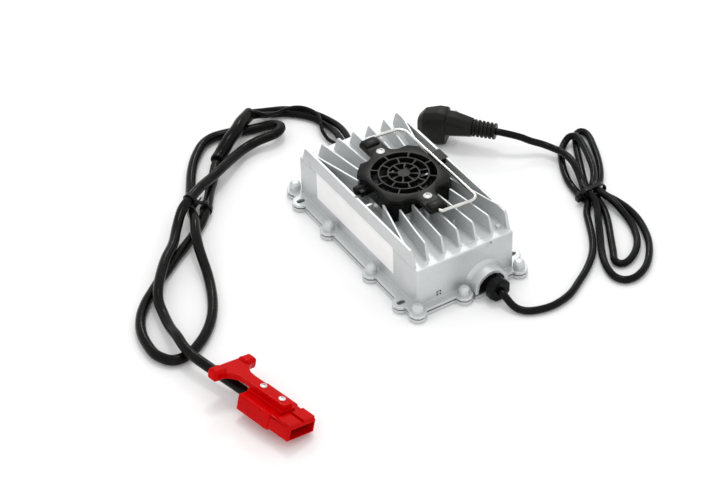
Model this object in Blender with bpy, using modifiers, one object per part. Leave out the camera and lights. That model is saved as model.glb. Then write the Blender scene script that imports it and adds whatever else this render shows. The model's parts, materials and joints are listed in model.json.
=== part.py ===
"""Sealed, fan-cooled battery charger for a floor scrubber.

A finned die-cast housing stands on a screwed base plate. A fan with a grille cover and a
swinging wire bail sits on top. A mains lead with an angled plug leaves one end, and the
charging lead with its two-pole connector and T-handle leaves the other.

Object frame: +X towards the mains gland, +Y towards the side where the bail lies at rest,
+Z up, origin on the bottom of the base plate. Every length is in metres.
"""

import math

import bmesh
import bpy
from mathutils import Matrix, Vector

MM = 0.001

# Clearance between pieces that touch on the real charger
SEAT = 0.3 * MM

# Housing body
BODY_LENGTH = 202 * MM
BODY_WIDTH = 104 * MM
DECK_TOP = 48 * MM
FIN_TOP = 64.5 * MM
SHELL_WALL = 3 * MM
DECK_THICKNESS = 4 * MM
BODY_EDGE_ROUND = 1.4 * MM

# Stack of base plate, gasket and housing flange
BASE_THICKNESS = 3.6 * MM
GASKET_THICKNESS = 0.6 * MM
FLANGE_THICKNESS = 2.7 * MM
FLANGE_MARGIN_X = 7.4 * MM
FLANGE_MARGIN_Y = 9 * MM
GASKET_INSET = 0.8 * MM

# Lugs round the flange, and the screw bosses on them
LUG_RADIUS = 8.4 * MM
BOSS_RADIUS = 5.4 * MM
BOSS_HEIGHT = 8.2 * MM
BOSS_BEVEL = 2.2 * MM
SIDE_BOSS_X = 37 * MM
SIDE_LUG_INSET = 0.6 * MM
CORNER_LUG_INSET_X = 1.9 * MM
CORNER_LUG_INSET_Y = 6 * MM
END_LUG_OUTSET = 0.8 * MM
END_LUG_Y = -6.8 * MM
EAR_INSET = 13.7 * MM
SLOT_WIDTH = 5 * MM
SLOT_LENGTH = 9 * MM

# Base screws, countersunk into the base plate
SCREW_RADIUS = 1.6 * MM
SCREW_HEAD_RADIUS = 3.4 * MM
SCREW_HEAD_DEPTH = 2 * MM
SCREW_LENGTH = 11 * MM
SCREW_RUN_OUT = 1.5 * MM

# Cooling fins
FIN_ROOT_THICKNESS = 3 * MM
FIN_TIP_THICKNESS = 1.9 * MM
FIN_PAIRS_EACH_SIDE = 2
FIN_PITCH = 17.33 * MM
FIN_LEDGE = 8 * MM
FIN_SLOPE_RUN = 5.2 * MM
FIN_SHOULDER = 2.6 * MM
FIN_CONVERGENCE = 0.22
FIN_CURVE_POWER = 1.2
FIN_FAN_GAP = 1.2 * MM
CENTRE_FIN_POST_GAP = 1.3 * MM
WALL_FIN_START_X = 21 * MM
WALL_FIN_SLOPE = 0.25
FIN_EMBED = 1 * MM
SIDE_WALL_ROOT = 3.2 * MM
SIDE_WALL_TIP = 2.3 * MM
SIDE_WALL_END_GAP = 5.4 * MM
SIDE_WALL_SLOPE_RUN = 4.4 * MM
WALL_RIB_X = 9 * MM
WALL_RIB_LENGTH = 9 * MM
WALL_RIB_HEIGHT = 12 * MM
WALL_NICK_X = -2 * MM
WALL_NICK_WIDTH = 3 * MM
WALL_NICK_DEPTH = 1.6 * MM
DECK_POST_RADIUS = 2.4 * MM
DECK_POST_HEIGHT = 3.6 * MM
DECK_POST_INSETS = ((40.4 * MM, 37.2 * MM), (11.5 * MM, 9 * MM))

# Four pressure-equalising holes in the end wall
VENT_CENTRE_Y = -28.9 * MM
VENT_CENTRE_Z = 13.3 * MM
VENT_SPREAD = 1.75 * MM
VENT_RADIUS = 0.75 * MM

# Cable collars and glands, one at each end
COLLAR_Y = 19.5 * MM
COLLAR_Z = 8 * MM
COLLAR_RADIUS = 17.8 * MM
COLLAR_FLARE = 2.6 * MM
COLLAR_BORE_RADIUS = 14.3 * MM
COLLAR_REACH = 14 * MM
GLAND_INNER_REACH = 2 * MM
GLAND_AXIS_Z = 11.2 * MM
GLAND_NUT_RADIUS = 10.8 * MM
GLAND_TIP_RADIUS = 8.9 * MM
GLAND_NUT_LENGTH = 13 * MM
GLAND_NUT_SIDES = 8
GLAND_NUT_EDGE = 1.1 * MM
GLAND_NECK_RADIUS = 7.5 * MM
GLAND_POCKET = 3 * MM

# Fan
FAN_SIZE = 68 * MM
FAN_CORNER = 7 * MM
FAN_RIM = 2.4 * MM
FAN_RING_BOTTOM = 54.5 * MM
FAN_COVER_BOTTOM = 67.2 * MM
FAN_LEG_SIZE = 9 * MM
FAN_SPIDER_THICKNESS = 2 * MM
FAN_MOTOR_RADIUS = 12.5 * MM
FAN_STRUT_WIDTH = 4 * MM
FAN_BUSH_RADIUS = 4 * MM
FAN_BUSH_HEIGHT = 5 * MM
FAN_BLADES = 7
FAN_BLADE_TIP_CLEARANCE = 1.3 * MM
FAN_BLADE_THICKNESS = 1.3 * MM
FAN_HUB_RADIUS = 13.5 * MM
FAN_HUB_WALL = 1.6 * MM
FAN_SHAFT_RADIUS = 1.5 * MM
FAN_SHAFT_CLEARANCE = 0.1 * MM
FAN_END_PLAY = 0.5 * MM
FAN_ARM_X = (-20 * MM, -5 * MM)
FAN_ARM_BOTTOM = 58.5 * MM
FAN_ARM_TOP = 63.9 * MM
LEAD_ARM_INSET = 9 * MM
LEAD_ARM_SETBACK = 3 * MM
FAN_ARM_PROUD = 0.6 * MM
GROMMET_PROUD = 2 * MM
GROMMET_RADIUS = 4.2 * MM

# Fan cover with its web grille
COVER_THICKNESS = 4.4 * MM
COVER_CHAMFER = 8 * MM
COVER_FILLET = 8 * MM
TONGUE_PAST_SCREW = 21.3 * MM
TONGUE_WIDTH = 19.5 * MM
TONGUE_CENTRE_Y = -1.25 * MM
TONGUE_CORNER = 2.4 * MM
GRILLE_SHARES = ((0.165, 0.406), (0.447, 0.662), (0.703, 0.903))
GRILLE_SPOKES = 8
GRILLE_SPOKE_WIDTH = 1.5 * MM
COVER_POST_GAP = 0.7 * MM
COVER_SCREW_HEAD_RADIUS = 4.4 * MM
COVER_SCREW_HEAD_HEIGHT = 2.4 * MM
COVER_SCREW_SHANK = 12 * MM
COVER_POST_RADIUS = 5 * MM

# Wire bail
WIRE_RADIUS = 1.7 * MM
PIVOT_Y = -1.5 * MM
PIVOT_Z = 70 * MM
PIVOT_CLEARANCE = 0.2 * MM
BAIL_LEG_GAP = 1.1 * MM
BAIL_REACH = 41.3 * MM
BAIL_CORNER = 9 * MM
BAIL_PIN_BEND = 2.4 * MM
BAIL_PIN_LENGTH = 6 * MM
BARREL_LENGTH = 11 * MM
BARREL_RADIUS = 3.7 * MM
BARREL_HALF_WIDTH = 7.5 * MM
BARREL_INSET = 0.5 * MM
BARREL_EDGE = 1.1 * MM

# Circuit board and what stands on it
BOARD_END_GAP = 12 * MM
BOARD_SIDE_GAP = 6 * MM
BOARD_CORNER = 2 * MM
BOARD_THICKNESS = 1.6 * MM
BOARD_UNDERSIDE = 9.3 * MM
STANDOFF_RADIUS = 3.4 * MM
STANDOFF_INSET_X = 7 * MM
STANDOFF_INSET_Y = 6 * MM
BOARD_SCREW_RADIUS = 1.2 * MM
BOARD_SCREW_HEAD_RADIUS = 2.9 * MM
BOARD_SCREW_HEAD_HEIGHT = 2 * MM
BOARD_SCREW_LENGTH = 5.5 * MM
TRANSFORMER_SIZE = (42 * MM, 20 * MM, 30 * MM)
TRANSFORMER_AT = (6 * MM, -10 * MM)
CORE_LIMB = 5.5 * MM
CORE_CENTRE_LIMB = 11 * MM
WINDING_OVERHANG = 6 * MM
WINDING_CORNER = 3 * MM
WINDING_INNER_CORNER = 0.1 * MM
CHOKE_AT = (62 * MM, -18 * MM)
CHOKE_RADIUS = 11 * MM
CHOKE_THICKNESS = 5 * MM
BULK_CAPACITORS_AT = ((44 * MM, 22 * MM), (16 * MM, 24 * MM))
BULK_CAPACITOR_SIZE = (12 * MM, 30 * MM)
OUTPUT_CAPACITORS_AT = ((-42 * MM, -20 * MM), (-62 * MM, -20 * MM))
OUTPUT_CAPACITOR_SIZE = (8 * MM, 26 * MM)
SEMICONDUCTOR_XS = (-18 * MM, -40 * MM, -62 * MM)
SEMICONDUCTOR_SIZE = (16 * MM, 5 * MM, 21 * MM)
SEMICONDUCTOR_LEG_HEIGHT = 5 * MM
SEMICONDUCTOR_LEG_SIZE = (1.4 * MM, 1 * MM)
CLAMP_BAR_THICKNESS = 3 * MM
CLAMP_BAR_HEIGHT = 8 * MM
CLAMP_BAR_OVERHANG = 7 * MM
CLAMP_BAR_FOOT = 6 * MM
FUSE_AT = (66 * MM, 8 * MM)
FUSE_RADIUS = 2.6 * MM
FUSE_LENGTH = 20 * MM
FUSE_CLIP = 5 * MM
FUSE_CLIP_MARGIN = 1 * MM
FUSE_RISE = 2 * MM
CAN_EDGE = 1 * MM

# Charging lead
THICK_LEAD_RADIUS = 3.25 * MM
THIN_LEAD_RADIUS = 1.85 * MM
SLEEVE_RADIUS = 4.85 * MM
CORD_STEP_DIAMETERS = 2.5
CORD_RESOLUTION = 2
CORD_STRAIGHT = 4 * MM
CORD_FINE_STEPS = 12
CORD_MOST_TURN = 24
LEAD_SPREAD = 3.6 * MM
LEAD_RISE = 1.4 * MM
THIN_LEAD_DROP = 4 * MM
SLEEVE_APPROACH = 16 * MM

# Two-pole connector, lying rolled on its right-hand edge
CONNECTOR_LENGTH = 59 * MM
CONNECTOR_WIDTH = 30 * MM
CONNECTOR_HEIGHT = 16 * MM
CONNECTOR_YAW = 12.5
CONNECTOR_ROLL = 16
CONNECTOR_FRONT_RIGHT = (181 * MM, -211 * MM)
CONNECTOR_FLOOR_GAP = 0.2 * MM
CONNECTOR_EDGE = 1.2 * MM
NOSE_LENGTH = 22 * MM
NOSE_STEP = 1.2 * MM
PAD_LENGTH = 15 * MM
PAD_WIDTH = 11 * MM
PAD_HEIGHT = 2.6 * MM
PAD_GAP = 1.6 * MM
RAIL_HALF_WIDTH = 7 * MM
RAIL_FRONT = 12 * MM
MOUTH_WIDTH = 23 * MM
MOUTH_HEIGHT = 9.5 * MM
MOUTH_DEPTH = 16 * MM
CONTACT_SIZE = (9 * MM, 6.5 * MM, 2.2 * MM)
CONTACT_SPREAD = 5.8 * MM
CONTACT_SLOT = 2 * MM
CONTACT_EDGE = 0.5 * MM

# T-handle of the connector
HANDLE_THICKNESS = 5.6 * MM
STEM_HALF_WIDTH = 6 * MM
STEM_FRONT = 11 * MM
CROSSBAR_X = -60 * MM
CROSSBAR_HALF = 25 * MM
CROSSBAR_DEPTH = 12 * MM
CROSSBAR_CHAMFER = 3.5 * MM
CROSSBAR_BLOCK_LENGTH = 14 * MM
CROSSBAR_BLOCK_DROP = 3 * MM
CROSSBAR_BLOCK_RISE = 2.5 * MM
CROSSBAR_BLOCK_EDGE = 2.45 * MM
HANDLE_FILLET = 15 * MM
HANDLE_SCREW_XS = (-21 * MM, 2 * MM)
HANDLE_SCREW_HEAD_RADIUS = 3.2 * MM
HANDLE_SCREW_HEAD_HEIGHT = 1.6 * MM
HANDLE_SCREW_SHANK = 10 * MM

# Mains lead, its hank and its plug
MAINS_RADIUS = 3.5 * MM
HANK_BOTTOM = 1.8 * MM
HANK_TOP = 15.2 * MM
TIE_THICKNESS = 1.2 * MM
TIE_WIDTH = 4.6 * MM
TIE_HEAD = (5.5 * MM, 5 * MM, 4 * MM)
PLUG_RADIUS = 17 * MM
PLUG_THICKNESS = 22 * MM
PLUG_CENTRE = (-93.1 * MM, 95.8 * MM)
PLUG_HEADING = 40
PLUG_BEVEL = 2.5 * MM
PLUG_AXIS_RISE = 7 * MM
PLUG_SHOULDER_INSET = 2 * MM
PLUG_NECK_RADIUS = 9.6 * MM
RELIEF_LENGTH = 24 * MM
RELIEF_RADIUS = 8.6 * MM
RELIEF_RIBS = 6
RELIEF_GROOVE = 1.3 * MM
RELIEF_START = 34 * MM
RELIEF_TAPER = 0.9 * MM
RELIEF_EMBED = 2 * MM
PIN_RADIUS = 2.4 * MM
PIN_LENGTH = 19 * MM
PIN_SPREAD = 9.5 * MM
PIN_SOCKET = 3 * MM
PIN_EDGE = 0.7 * MM

# Distance within which points of one curve or turned body are one point
WELD = 0.005 * MM

# Faces that meet at less than this angle, in radians, are one flat face
FLAT_ANGLE = 0.0005

# Edges of round bodies are rounded where they are sharper than this, in degrees
RIM_LIMIT = 40

# Number of sides on round pieces
HOLE_SIDES = 8
SCREW_SIDES = 8
SMALL_SIDES = 12
LUG_SIDES = 10
MEDIUM_SIDES = 14
LARGE_SIDES = 24

# Sizes that follow from those above
GASKET_BOTTOM = BASE_THICKNESS + SEAT
FLANGE_BOTTOM = GASKET_BOTTOM + GASKET_THICKNESS + SEAT
FLANGE_TOP = FLANGE_BOTTOM + FLANGE_THICKNESS
FLANGE_HALF_X = BODY_LENGTH / 2 + FLANGE_MARGIN_X
FLANGE_HALF_Y = BODY_WIDTH / 2 + FLANGE_MARGIN_Y
LUG_Y = FLANGE_HALF_Y - SIDE_LUG_INSET
CORNER_LUG_X = FLANGE_HALF_X - CORNER_LUG_INSET_X
CORNER_LUG_Y = FLANGE_HALF_Y - CORNER_LUG_INSET_Y
END_LUG_X = FLANGE_HALF_X + END_LUG_OUTSET
INNER_HALF_X = BODY_LENGTH / 2 - SHELL_WALL
INNER_HALF_Y = BODY_WIDTH / 2 - SHELL_WALL
FIN_FOOT_X = BODY_LENGTH / 2 - FIN_LEDGE
COLLAR_FACE_X = BODY_LENGTH / 2 + COLLAR_REACH
NUT_BASE_X = COLLAR_FACE_X + SEAT
NUT_FACE_X = NUT_BASE_X + GLAND_NUT_LENGTH
FAN_BORE_RADIUS = FAN_SIZE / 2 - FAN_RIM
COVER_HALF = FAN_SIZE / 2
COVER_SCREW_X = COVER_HALF + COVER_POST_GAP + COVER_POST_RADIUS
TONGUE_REACH = COVER_SCREW_X + TONGUE_PAST_SCREW
BAIL_LEG_X = TONGUE_REACH + BAIL_LEG_GAP + WIRE_RADIUS
GRILLE_RADII = tuple((inner * COVER_HALF, outer * COVER_HALF) for inner, outer in GRILLE_SHARES)
LEAD_ARM_REACH = BODY_WIDTH / 2 - LEAD_ARM_INSET
FIN_INNER_X = FAN_SIZE / 2 + FIN_FAN_GAP
CENTRE_FIN_INNER_X = COVER_SCREW_X + COVER_POST_RADIUS + CENTRE_FIN_POST_GAP
EAR_X = BODY_LENGTH / 2 - EAR_INSET
DECK_POSTS = tuple((BODY_LENGTH / 2 - x, BODY_WIDTH / 2 - y) for x, y in DECK_POST_INSETS)
BOARD_LENGTH = 2 * (INNER_HALF_X - BOARD_END_GAP)
BOARD_WIDTH = 2 * (INNER_HALF_Y - BOARD_SIDE_GAP)
STANDOFF_X = BOARD_LENGTH / 2 - STANDOFF_INSET_X
STANDOFF_Y = BOARD_WIDTH / 2 - STANDOFF_INSET_Y
PLUG_AXIS_Z = PLUG_RADIUS + PLUG_AXIS_RISE
COVER_TOP = FAN_COVER_BOTTOM + COVER_THICKNESS
FAN_TOP = FAN_COVER_BOTTOM - SEAT
BOARD_TOP = BOARD_UNDERSIDE + BOARD_THICKNESS
STANDOFF_TOP = BOARD_UNDERSIDE - SEAT

BOSS_PLACES = (
    [(sx * SIDE_BOSS_X, sy * LUG_Y) for sx in (-1, 1) for sy in (-1, 1)]
    + [(sx * CORNER_LUG_X, sy * CORNER_LUG_Y) for sx in (-1, 1) for sy in (-1, 1)]
    + [(sx * END_LUG_X, END_LUG_Y) for sx in (-1, 1)]
)
EAR_PLACES = [(sx * EAR_X, sy * LUG_Y) for sx in (-1, 1) for sy in (-1, 1)]
STANDOFF_PLACES = [(sx * STANDOFF_X, sy * STANDOFF_Y) for sx in (-1, 1) for sy in (-1, 1)]

# Routes of the leads, in millimetres, through points chosen on the photograph's floor
THICK_LEAD_1_ROUTE = (
    (-150, 28, 11), (-167.6, 30.6, 8), (-186.7, 29.4, 4.6), (-200.4, 24.9, 3.8), (-210.8, 18.5, 3.8),
    (-219.2, 10.7, 3.8), (-226.5, 1.8, 3.8), (-230, -8.4, 4.6), (-230.5, -21, 8), (-230.4, -32.6, 11.4),
    (-228.3, -41, 13.2),
)
THICK_LEAD_2_ROUTE = (
    (-150, 20.5, 10), (-166, 23.5, 6.5), (-184, 22.3, 4.2), (-196.5, 19, 3.8), (-206, 13, 3.8), (-214, 5.5, 3.8),
    (-219.7, -1.2, 3.8), (-222.8, -9.5, 4.6), (-223.4, -21, 8), (-223, -30, 11.4), (-222.2, -36.9, 13.2),
)
THIN_LEAD_ROUTE = (
    (-150, 15, 4.5), (-160, 14, 3.5), (-172, 15, 6), (-181, 18.5, 9.8), (-190, 21.5, 10.2), (-200, 20.5, 10.2),
    (-210, 15.8, 10), (-216, 8, 9.8), (-217.5, -1.5, 9.8), (-217, -11, 10), (-217, -21.6, 12.5),
    (-219.5, -30, 16.8), (-225.6, -36.8, 18.6),
)
SLEEVE_ROUTE = (
    (-224, -40, 13.6), (-216, -51, 15.6), (-207, -62, 15.6), (-201, -73, 14), (-195, -83, 10), (-189, -93, 6),
    (-178, -103, 5.2), (-164, -113, 5.4), (-150, -124, 6), (-133, -136, 7), (-118, -149, 6), (-106, -163, 5.2),
    (-94, -180, 5.2), (-83, -197, 5.2), (-72, -212, 5.2), (-63, -225, 5.2), (-52, -239, 5.2), (-42, -251, 5.2),
    (-30, -262, 5.2), (-17, -270, 5.2), (-3, -275, 5.2), (11, -277, 5.2), (23, -277, 5.2), (33, -273, 5.2),
    (39, -268, 5.2), (41, -260, 5.2), (39, -249, 5.2), (33, -238, 5.2), (25, -227, 5.2), (14, -216, 5.2),
    (2, -207, 5.2), (-12, -199, 5.2), (-30, -191, 5.4), (-47, -185, 7), (-62, -181, 10), (-76, -177, 13),
    (-92, -171, 15.6), (-111, -162, 15.6), (-129, -156, 10.4), (-140, -150, 7), (-154, -143, 6),
    (-168, -135, 5.2), (-183, -126, 5.2), (-197, -116, 5.2), (-209, -105, 5.2), (-219, -93, 5.2),
    (-223, -81, 5.2), (-222, -70, 5.2), (-219, -58, 5.2), (-215, -47, 5.2), (-212, -35, 5.2), (-208, -25, 6.5),
    (-201, -19, 9), (-192, -20, 11.5), (-186.5, -28, 12), (-186.5, -38, 11.5), (-188, -49, 10), (-186, -64, 9),
    (-175, -85, 12), (-163, -104, 15.4), (-154, -120, 17), (-145, -136, 19.5), (-134.5, -152, 21),
    (-125, -166.5, 20), (-110, -181, 15), (-92, -195, 14), (-76, -211, 15.4), (-61, -224, 15.4), (-45, -236, 14),
    (-32, -243, 11), (-16, -247, 9), (4, -251, 10), (24, -254, 15), (40, -256, 16), (54, -255, 15.4),
)
MAINS_ROUTE = (
    (146, 22, 5), (155, 28, 3.6), (161, 40, 3.6), (163, 55, 3.6), (159, 74, 3.6), (149, 92, 3.6),
    (138, 109, 3.6), (124, 125, 3.6), (108.9, 137.0, 3.6), (91.7, 147.7, 3.6),
)
TAIL_ROUTE = (
    (-13.1, 178, 7), (-25, 175, 8), (-33.5, 168, 12), (-40, 159, 19),
)
HANK_OUTLINE = (
    (56, 157), (72, 157), (92, 152), (112, 141), (132, 129), (150, 119), (168, 118), (178, 130), (172, 149),
    (158, 168), (138, 183), (114, 191), (88, 194), (70, 194), (56, 196), (40, 204), (18, 216), (-6, 226),
    (-26, 233), (-38, 226), (-36, 208), (-24, 192), (-8, 177), (14, 170), (36, 166),
)
SLEEVE_TIES_NEAR = ((-140, -143, 20), (-129, -140, 7))
HANK_TIE_X = 56


def clear_scene():
    """Remove every object of the scene."""
    for old in list(bpy.data.objects):
        bpy.data.objects.remove(old, do_unlink=True)


def new_collection(name):
    """Return a new collection linked to the scene."""
    collection = bpy.data.collections.new(name)
    bpy.context.scene.collection.children.link(collection)
    return collection


def new_material(name, colour, roughness, metallic=0.0):
    """Return a Principled material."""
    material = bpy.data.materials.new(name)
    material.use_nodes = True
    shader = material.node_tree.nodes["Principled BSDF"]
    shader.inputs["Base Color"].default_value = (*colour, 1)
    shader.inputs["Roughness"].default_value = roughness
    shader.inputs["Metallic"].default_value = metallic
    return material


class Workshop:
    """The two collections, and the making of objects in them."""

    def __init__(self):
        self.parts = new_collection("battery_charger")
        self.cutters = new_collection("cutters")

    def helper(self, mesh, name="helper"):
        """Place a mesh among the cutters, hidden from renders."""
        made = bpy.data.objects.new(name, mesh)
        made.hide_render = True
        made.display_type = "WIRE"
        self.cutters.objects.link(made)
        return made

    def part(self, name, blank, material):
        """Turn a blank into the named part with its own material, shaded smooth by angle."""
        self.cutters.objects.unlink(blank)
        blank.name = name
        blank.data.name = name
        blank.hide_render = False
        blank.display_type = "TEXTURED"
        blank.data.materials.clear()
        blank.data.materials.append(material)
        blank.data.shade_smooth()
        blank.data.set_sharp_from_angle(angle=math.radians(35))
        self.parts.objects.link(blank)
        return blank


SHOP = None


def mesh_from(builder, name="helper"):
    """Run builder on a new bmesh and return the helper object that holds it."""
    shape = bmesh.new()
    builder(shape)
    bmesh.ops.recalc_face_normals(shape, faces=shape.faces)
    mesh = bpy.data.meshes.new(name)
    shape.to_mesh(mesh)
    shape.free()
    return SHOP.helper(mesh, name)


def box(low, high):
    """Return a box between two corners."""
    size = [b - a for a, b in zip(low, high)]
    centre = [(a + b) / 2 for a, b in zip(low, high)]
    matrix = Matrix.Translation(centre) @ Matrix.Diagonal((*size, 1))
    return mesh_from(lambda shape: bmesh.ops.create_cube(shape, size=1, matrix=matrix))


def centred_box(centre, size):
    """Return a box by its centre and size."""
    low = [c - s / 2 for c, s in zip(centre, size)]
    high = [c + s / 2 for c, s in zip(centre, size)]
    return box(low, high)


def rounded_box(low, high, radius, segments=2):
    """Return a box with all its edges rounded."""
    blank = box(low, high)
    bevel(blank, radius, segments)
    return blank


def cone(base, height, base_radius, top_radius, sides, axis="Z"):
    """Return a cone or cylinder from its base centre along an axis."""
    turns = {"Z": Matrix(), "X": Matrix.Rotation(math.pi / 2, 4, "Y"), "Y": Matrix.Rotation(-math.pi / 2, 4, "X")}
    turn = turns[axis]
    matrix = Matrix.Translation(base) @ turn @ Matrix.Translation((0, 0, height / 2))
    return mesh_from(
        lambda shape: bmesh.ops.create_cone(
            shape, cap_ends=True, segments=sides, radius1=base_radius, radius2=top_radius, depth=height,
            matrix=matrix,
        )
    )


def cylinder(base, height, radius, sides=SMALL_SIDES, axis="Z"):
    """Return a cylinder from its base centre along an axis."""
    return cone(base, height, radius, radius, sides, axis)


def evaluated_copy(source):
    """Replace an object by a mesh object of its evaluated shape, with its place applied."""
    bpy.context.view_layer.update()
    graph = bpy.context.evaluated_depsgraph_get()
    mesh = bpy.data.meshes.new_from_object(source.evaluated_get(graph))
    mesh.transform(source.matrix_world)
    bpy.data.objects.remove(source, do_unlink=True)
    return SHOP.helper(mesh)


def welded_copy(source):
    """Replace an object by its evaluated mesh with its loose caps or seam welded."""
    made = evaluated_copy(source)
    shape = bmesh.new()
    shape.from_mesh(made.data)
    bmesh.ops.remove_doubles(shape, verts=shape.verts, dist=WELD)
    bmesh.ops.recalc_face_normals(shape, faces=shape.faces)
    shape.to_mesh(made.data)
    shape.free()
    return made


def bevel(target, width, segments=1, limit=30):
    """Round an object's edges that are sharper than the limit."""
    modifier = target.modifiers.new("Rounded edges", "BEVEL")
    modifier.width = width
    modifier.segments = segments
    modifier.limit_method = "ANGLE"
    modifier.angle_limit = math.radians(limit)


def plate(outlines, bottom, top):
    """Return a plate between two heights from closed outlines, the first outer and the rest holes."""
    curve = bpy.data.curves.new("outline", "CURVE")
    curve.dimensions = "2D"
    curve.fill_mode = "BOTH"
    curve.extrude = (top - bottom) / 2
    for outline in outlines:
        spline = curve.splines.new("POLY")
        spline.points.add(len(outline) - 1)
        for point, (x, y) in zip(spline.points, outline):
            point.co = (x, y, 0, 1)
        spline.use_cyclic_u = True
    blank = bpy.data.objects.new("outline", curve)
    blank.location.z = (top + bottom) / 2
    SHOP.cutters.objects.link(blank)
    return welded_copy(blank)


def arc(centre, radius, start, end, steps):
    """Return points on an arc between two angles in degrees, both ends included."""
    angles = [math.radians(start + (end - start) * i / steps) for i in range(steps + 1)]
    return [(centre[0] + radius * math.cos(a), centre[1] + radius * math.sin(a)) for a in angles]


def circle(centre, radius, sides):
    """Return the points of a closed circle."""
    return arc(centre, radius, 0, 360, sides)[:-1]


def obround(centre, width, length, steps=3):
    """Return a slot outline that is long along Y."""
    reach = (length - width) / 2
    upper = arc((centre[0], centre[1] + reach), width / 2, 0, 180, steps)
    lower = arc((centre[0], centre[1] - reach), width / 2, 180, 360, steps)
    return upper + lower


def rounded_rectangle(half_x, half_y, radius, steps=3, centre=(0, 0)):
    """Return a rectangle outline with round corners."""
    points = []
    for quarter, (sx, sy) in enumerate(((1, 1), (-1, 1), (-1, -1), (1, -1))):
        corner = (centre[0] + sx * (half_x - radius), centre[1] + sy * (half_y - radius))
        points += arc(corner, radius, 90 * quarter, 90 * quarter + 90, steps)
    return points


def turned(profile, steps, base=(0, 0, 0), axis="Z"):
    """Return a body turned about an axis from (radius, height) points that run top to bottom."""
    shape = bmesh.new()
    points = [shape.verts.new((radius, 0, height)) for radius, height in profile]
    for first, second in zip(points, points[1:]):
        shape.edges.new((first, second))
    mesh = bpy.data.meshes.new("profile")
    shape.to_mesh(mesh)
    shape.free()
    blank = SHOP.helper(mesh)
    screw = blank.modifiers.new("Turn", "SCREW")
    screw.steps = steps
    screw.render_steps = steps
    screw.use_merge_vertices = True
    screw.merge_threshold = 0.00001
    blank.location = base
    if axis == "X":
        blank.rotation_euler = (0, math.pi / 2, 0)
    return welded_copy(blank)


def boolean(target, tools, operation):
    """Combine a target with tools, and return the result as a new mesh object."""
    for tool in tools:
        modifier = target.modifiers.new("Combine", "BOOLEAN")
        modifier.operation = operation
        modifier.solver = "EXACT"
        modifier.object = tool
    result = evaluated_copy(target)
    for tool in tools:
        bpy.data.objects.remove(tool, do_unlink=True)
    shape = bmesh.new()
    shape.from_mesh(result.data)
    bmesh.ops.dissolve_limit(shape, angle_limit=FLAT_ANGLE, verts=shape.verts, edges=shape.edges)
    shape.to_mesh(result.data)
    shape.free()
    return result


def cut(target, *tools):
    """Cut tools out of a target."""
    return boolean(target, tools, "DIFFERENCE")


def join(target, *tools):
    """Weld tools onto a target."""
    return boolean(target, tools, "UNION")


def smooth_route(points, spacing):
    """Return points on a smooth curve through the route's own points, closer together in its tight bends."""
    knots = [Vector(p) for p in points]
    knots = [2 * knots[0] - knots[1]] + knots + [2 * knots[-1] - knots[-2]]
    fine = []
    for before, start, end, after in zip(knots, knots[1:], knots[2:], knots[3:]):
        span = (end - start).length
        lead_in = (end - before) / ((start - before).length + span) * span
        lead_out = (after - start) / ((after - end).length + span) * span
        for step in range(CORD_FINE_STEPS):
            t = step / CORD_FINE_STEPS
            fine.append(
                (2 * t**3 - 3 * t**2 + 1) * start
                + (t**3 - 2 * t**2 + t) * lead_in
                + (3 * t**2 - 2 * t**3) * end
                + (t**3 - t**2) * lead_out
            )
    fine.append(knots[-2])
    chosen = [fine[0]]
    heading = fine[1] - fine[0]
    travelled = 0
    for before, place, after in zip(fine, fine[1:], fine[2:]):
        travelled += (place - before).length
        turned_by = math.degrees(heading.angle(after - place))
        if travelled > spacing or turned_by > CORD_MOST_TURN:
            chosen.append(place)
            heading = after - place
            travelled = 0
    if (fine[-1] - chosen[-1]).length < spacing / 3:
        chosen.pop()
    return [*chosen, fine[-1]]


def tube(points, radius, resolution):
    """Return a round tube along points, with filled ends."""
    curve = bpy.data.curves.new("tube", "CURVE")
    curve.dimensions = "3D"
    curve.bevel_depth = radius
    curve.bevel_resolution = resolution
    curve.use_fill_caps = True
    spline = curve.splines.new("POLY")
    spline.points.add(len(points) - 1)
    for point, place in zip(spline.points, points):
        point.co = (*place, 1)
    blank = bpy.data.objects.new("tube", curve)
    SHOP.cutters.objects.link(blank)
    return welded_copy(blank)


def cord(route, radius, start=(), end=()):
    """Return a cord's tube along a smooth curve through its route, with straight ends in their sockets."""
    spacing = CORD_STEP_DIAMETERS * 2 * radius
    return tube([*start, *smooth_route(route, spacing), *end], radius, CORD_RESOLUTION)


def tie(place, heading, inner_radius):
    """Return a cable tie round a cord: a flat band with its locking head, at a place along a heading."""
    band = cylinder((0, 0, 0), TIE_WIDTH, inner_radius + TIE_THICKNESS, SMALL_SIDES)
    head_place = (inner_radius + (TIE_THICKNESS + TIE_HEAD[2]) / 2, 0, TIE_WIDTH / 2)
    head = centred_box(head_place, (TIE_HEAD[2], TIE_HEAD[1], TIE_HEAD[0]))
    bore = cylinder((0, 0, -TIE_WIDTH), 3 * TIE_WIDTH, inner_radius, SMALL_SIDES)
    band = cut(join(band, head), bore)
    turn = heading.to_track_quat("Z", "Y").to_matrix().to_4x4()
    band.data.transform(Matrix.Translation(place) @ turn @ Matrix.Translation((0, 0, -TIE_WIDTH / 2)))
    return band


def nearest_stretch(points, place):
    """Return the middle and the heading of the stretch of a cord that lies nearest to a place."""
    middles = [(first + second) / 2 for first, second in zip(points, points[1:])]
    number = min(range(len(middles)), key=lambda i: (middles[i] - place).length)
    return middles[number], (points[number + 1] - points[number]).normalized()


def in_metres(route):
    """Return a route given in millimetres as points in metres."""
    return [tuple(value * MM for value in point) for point in route]


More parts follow.
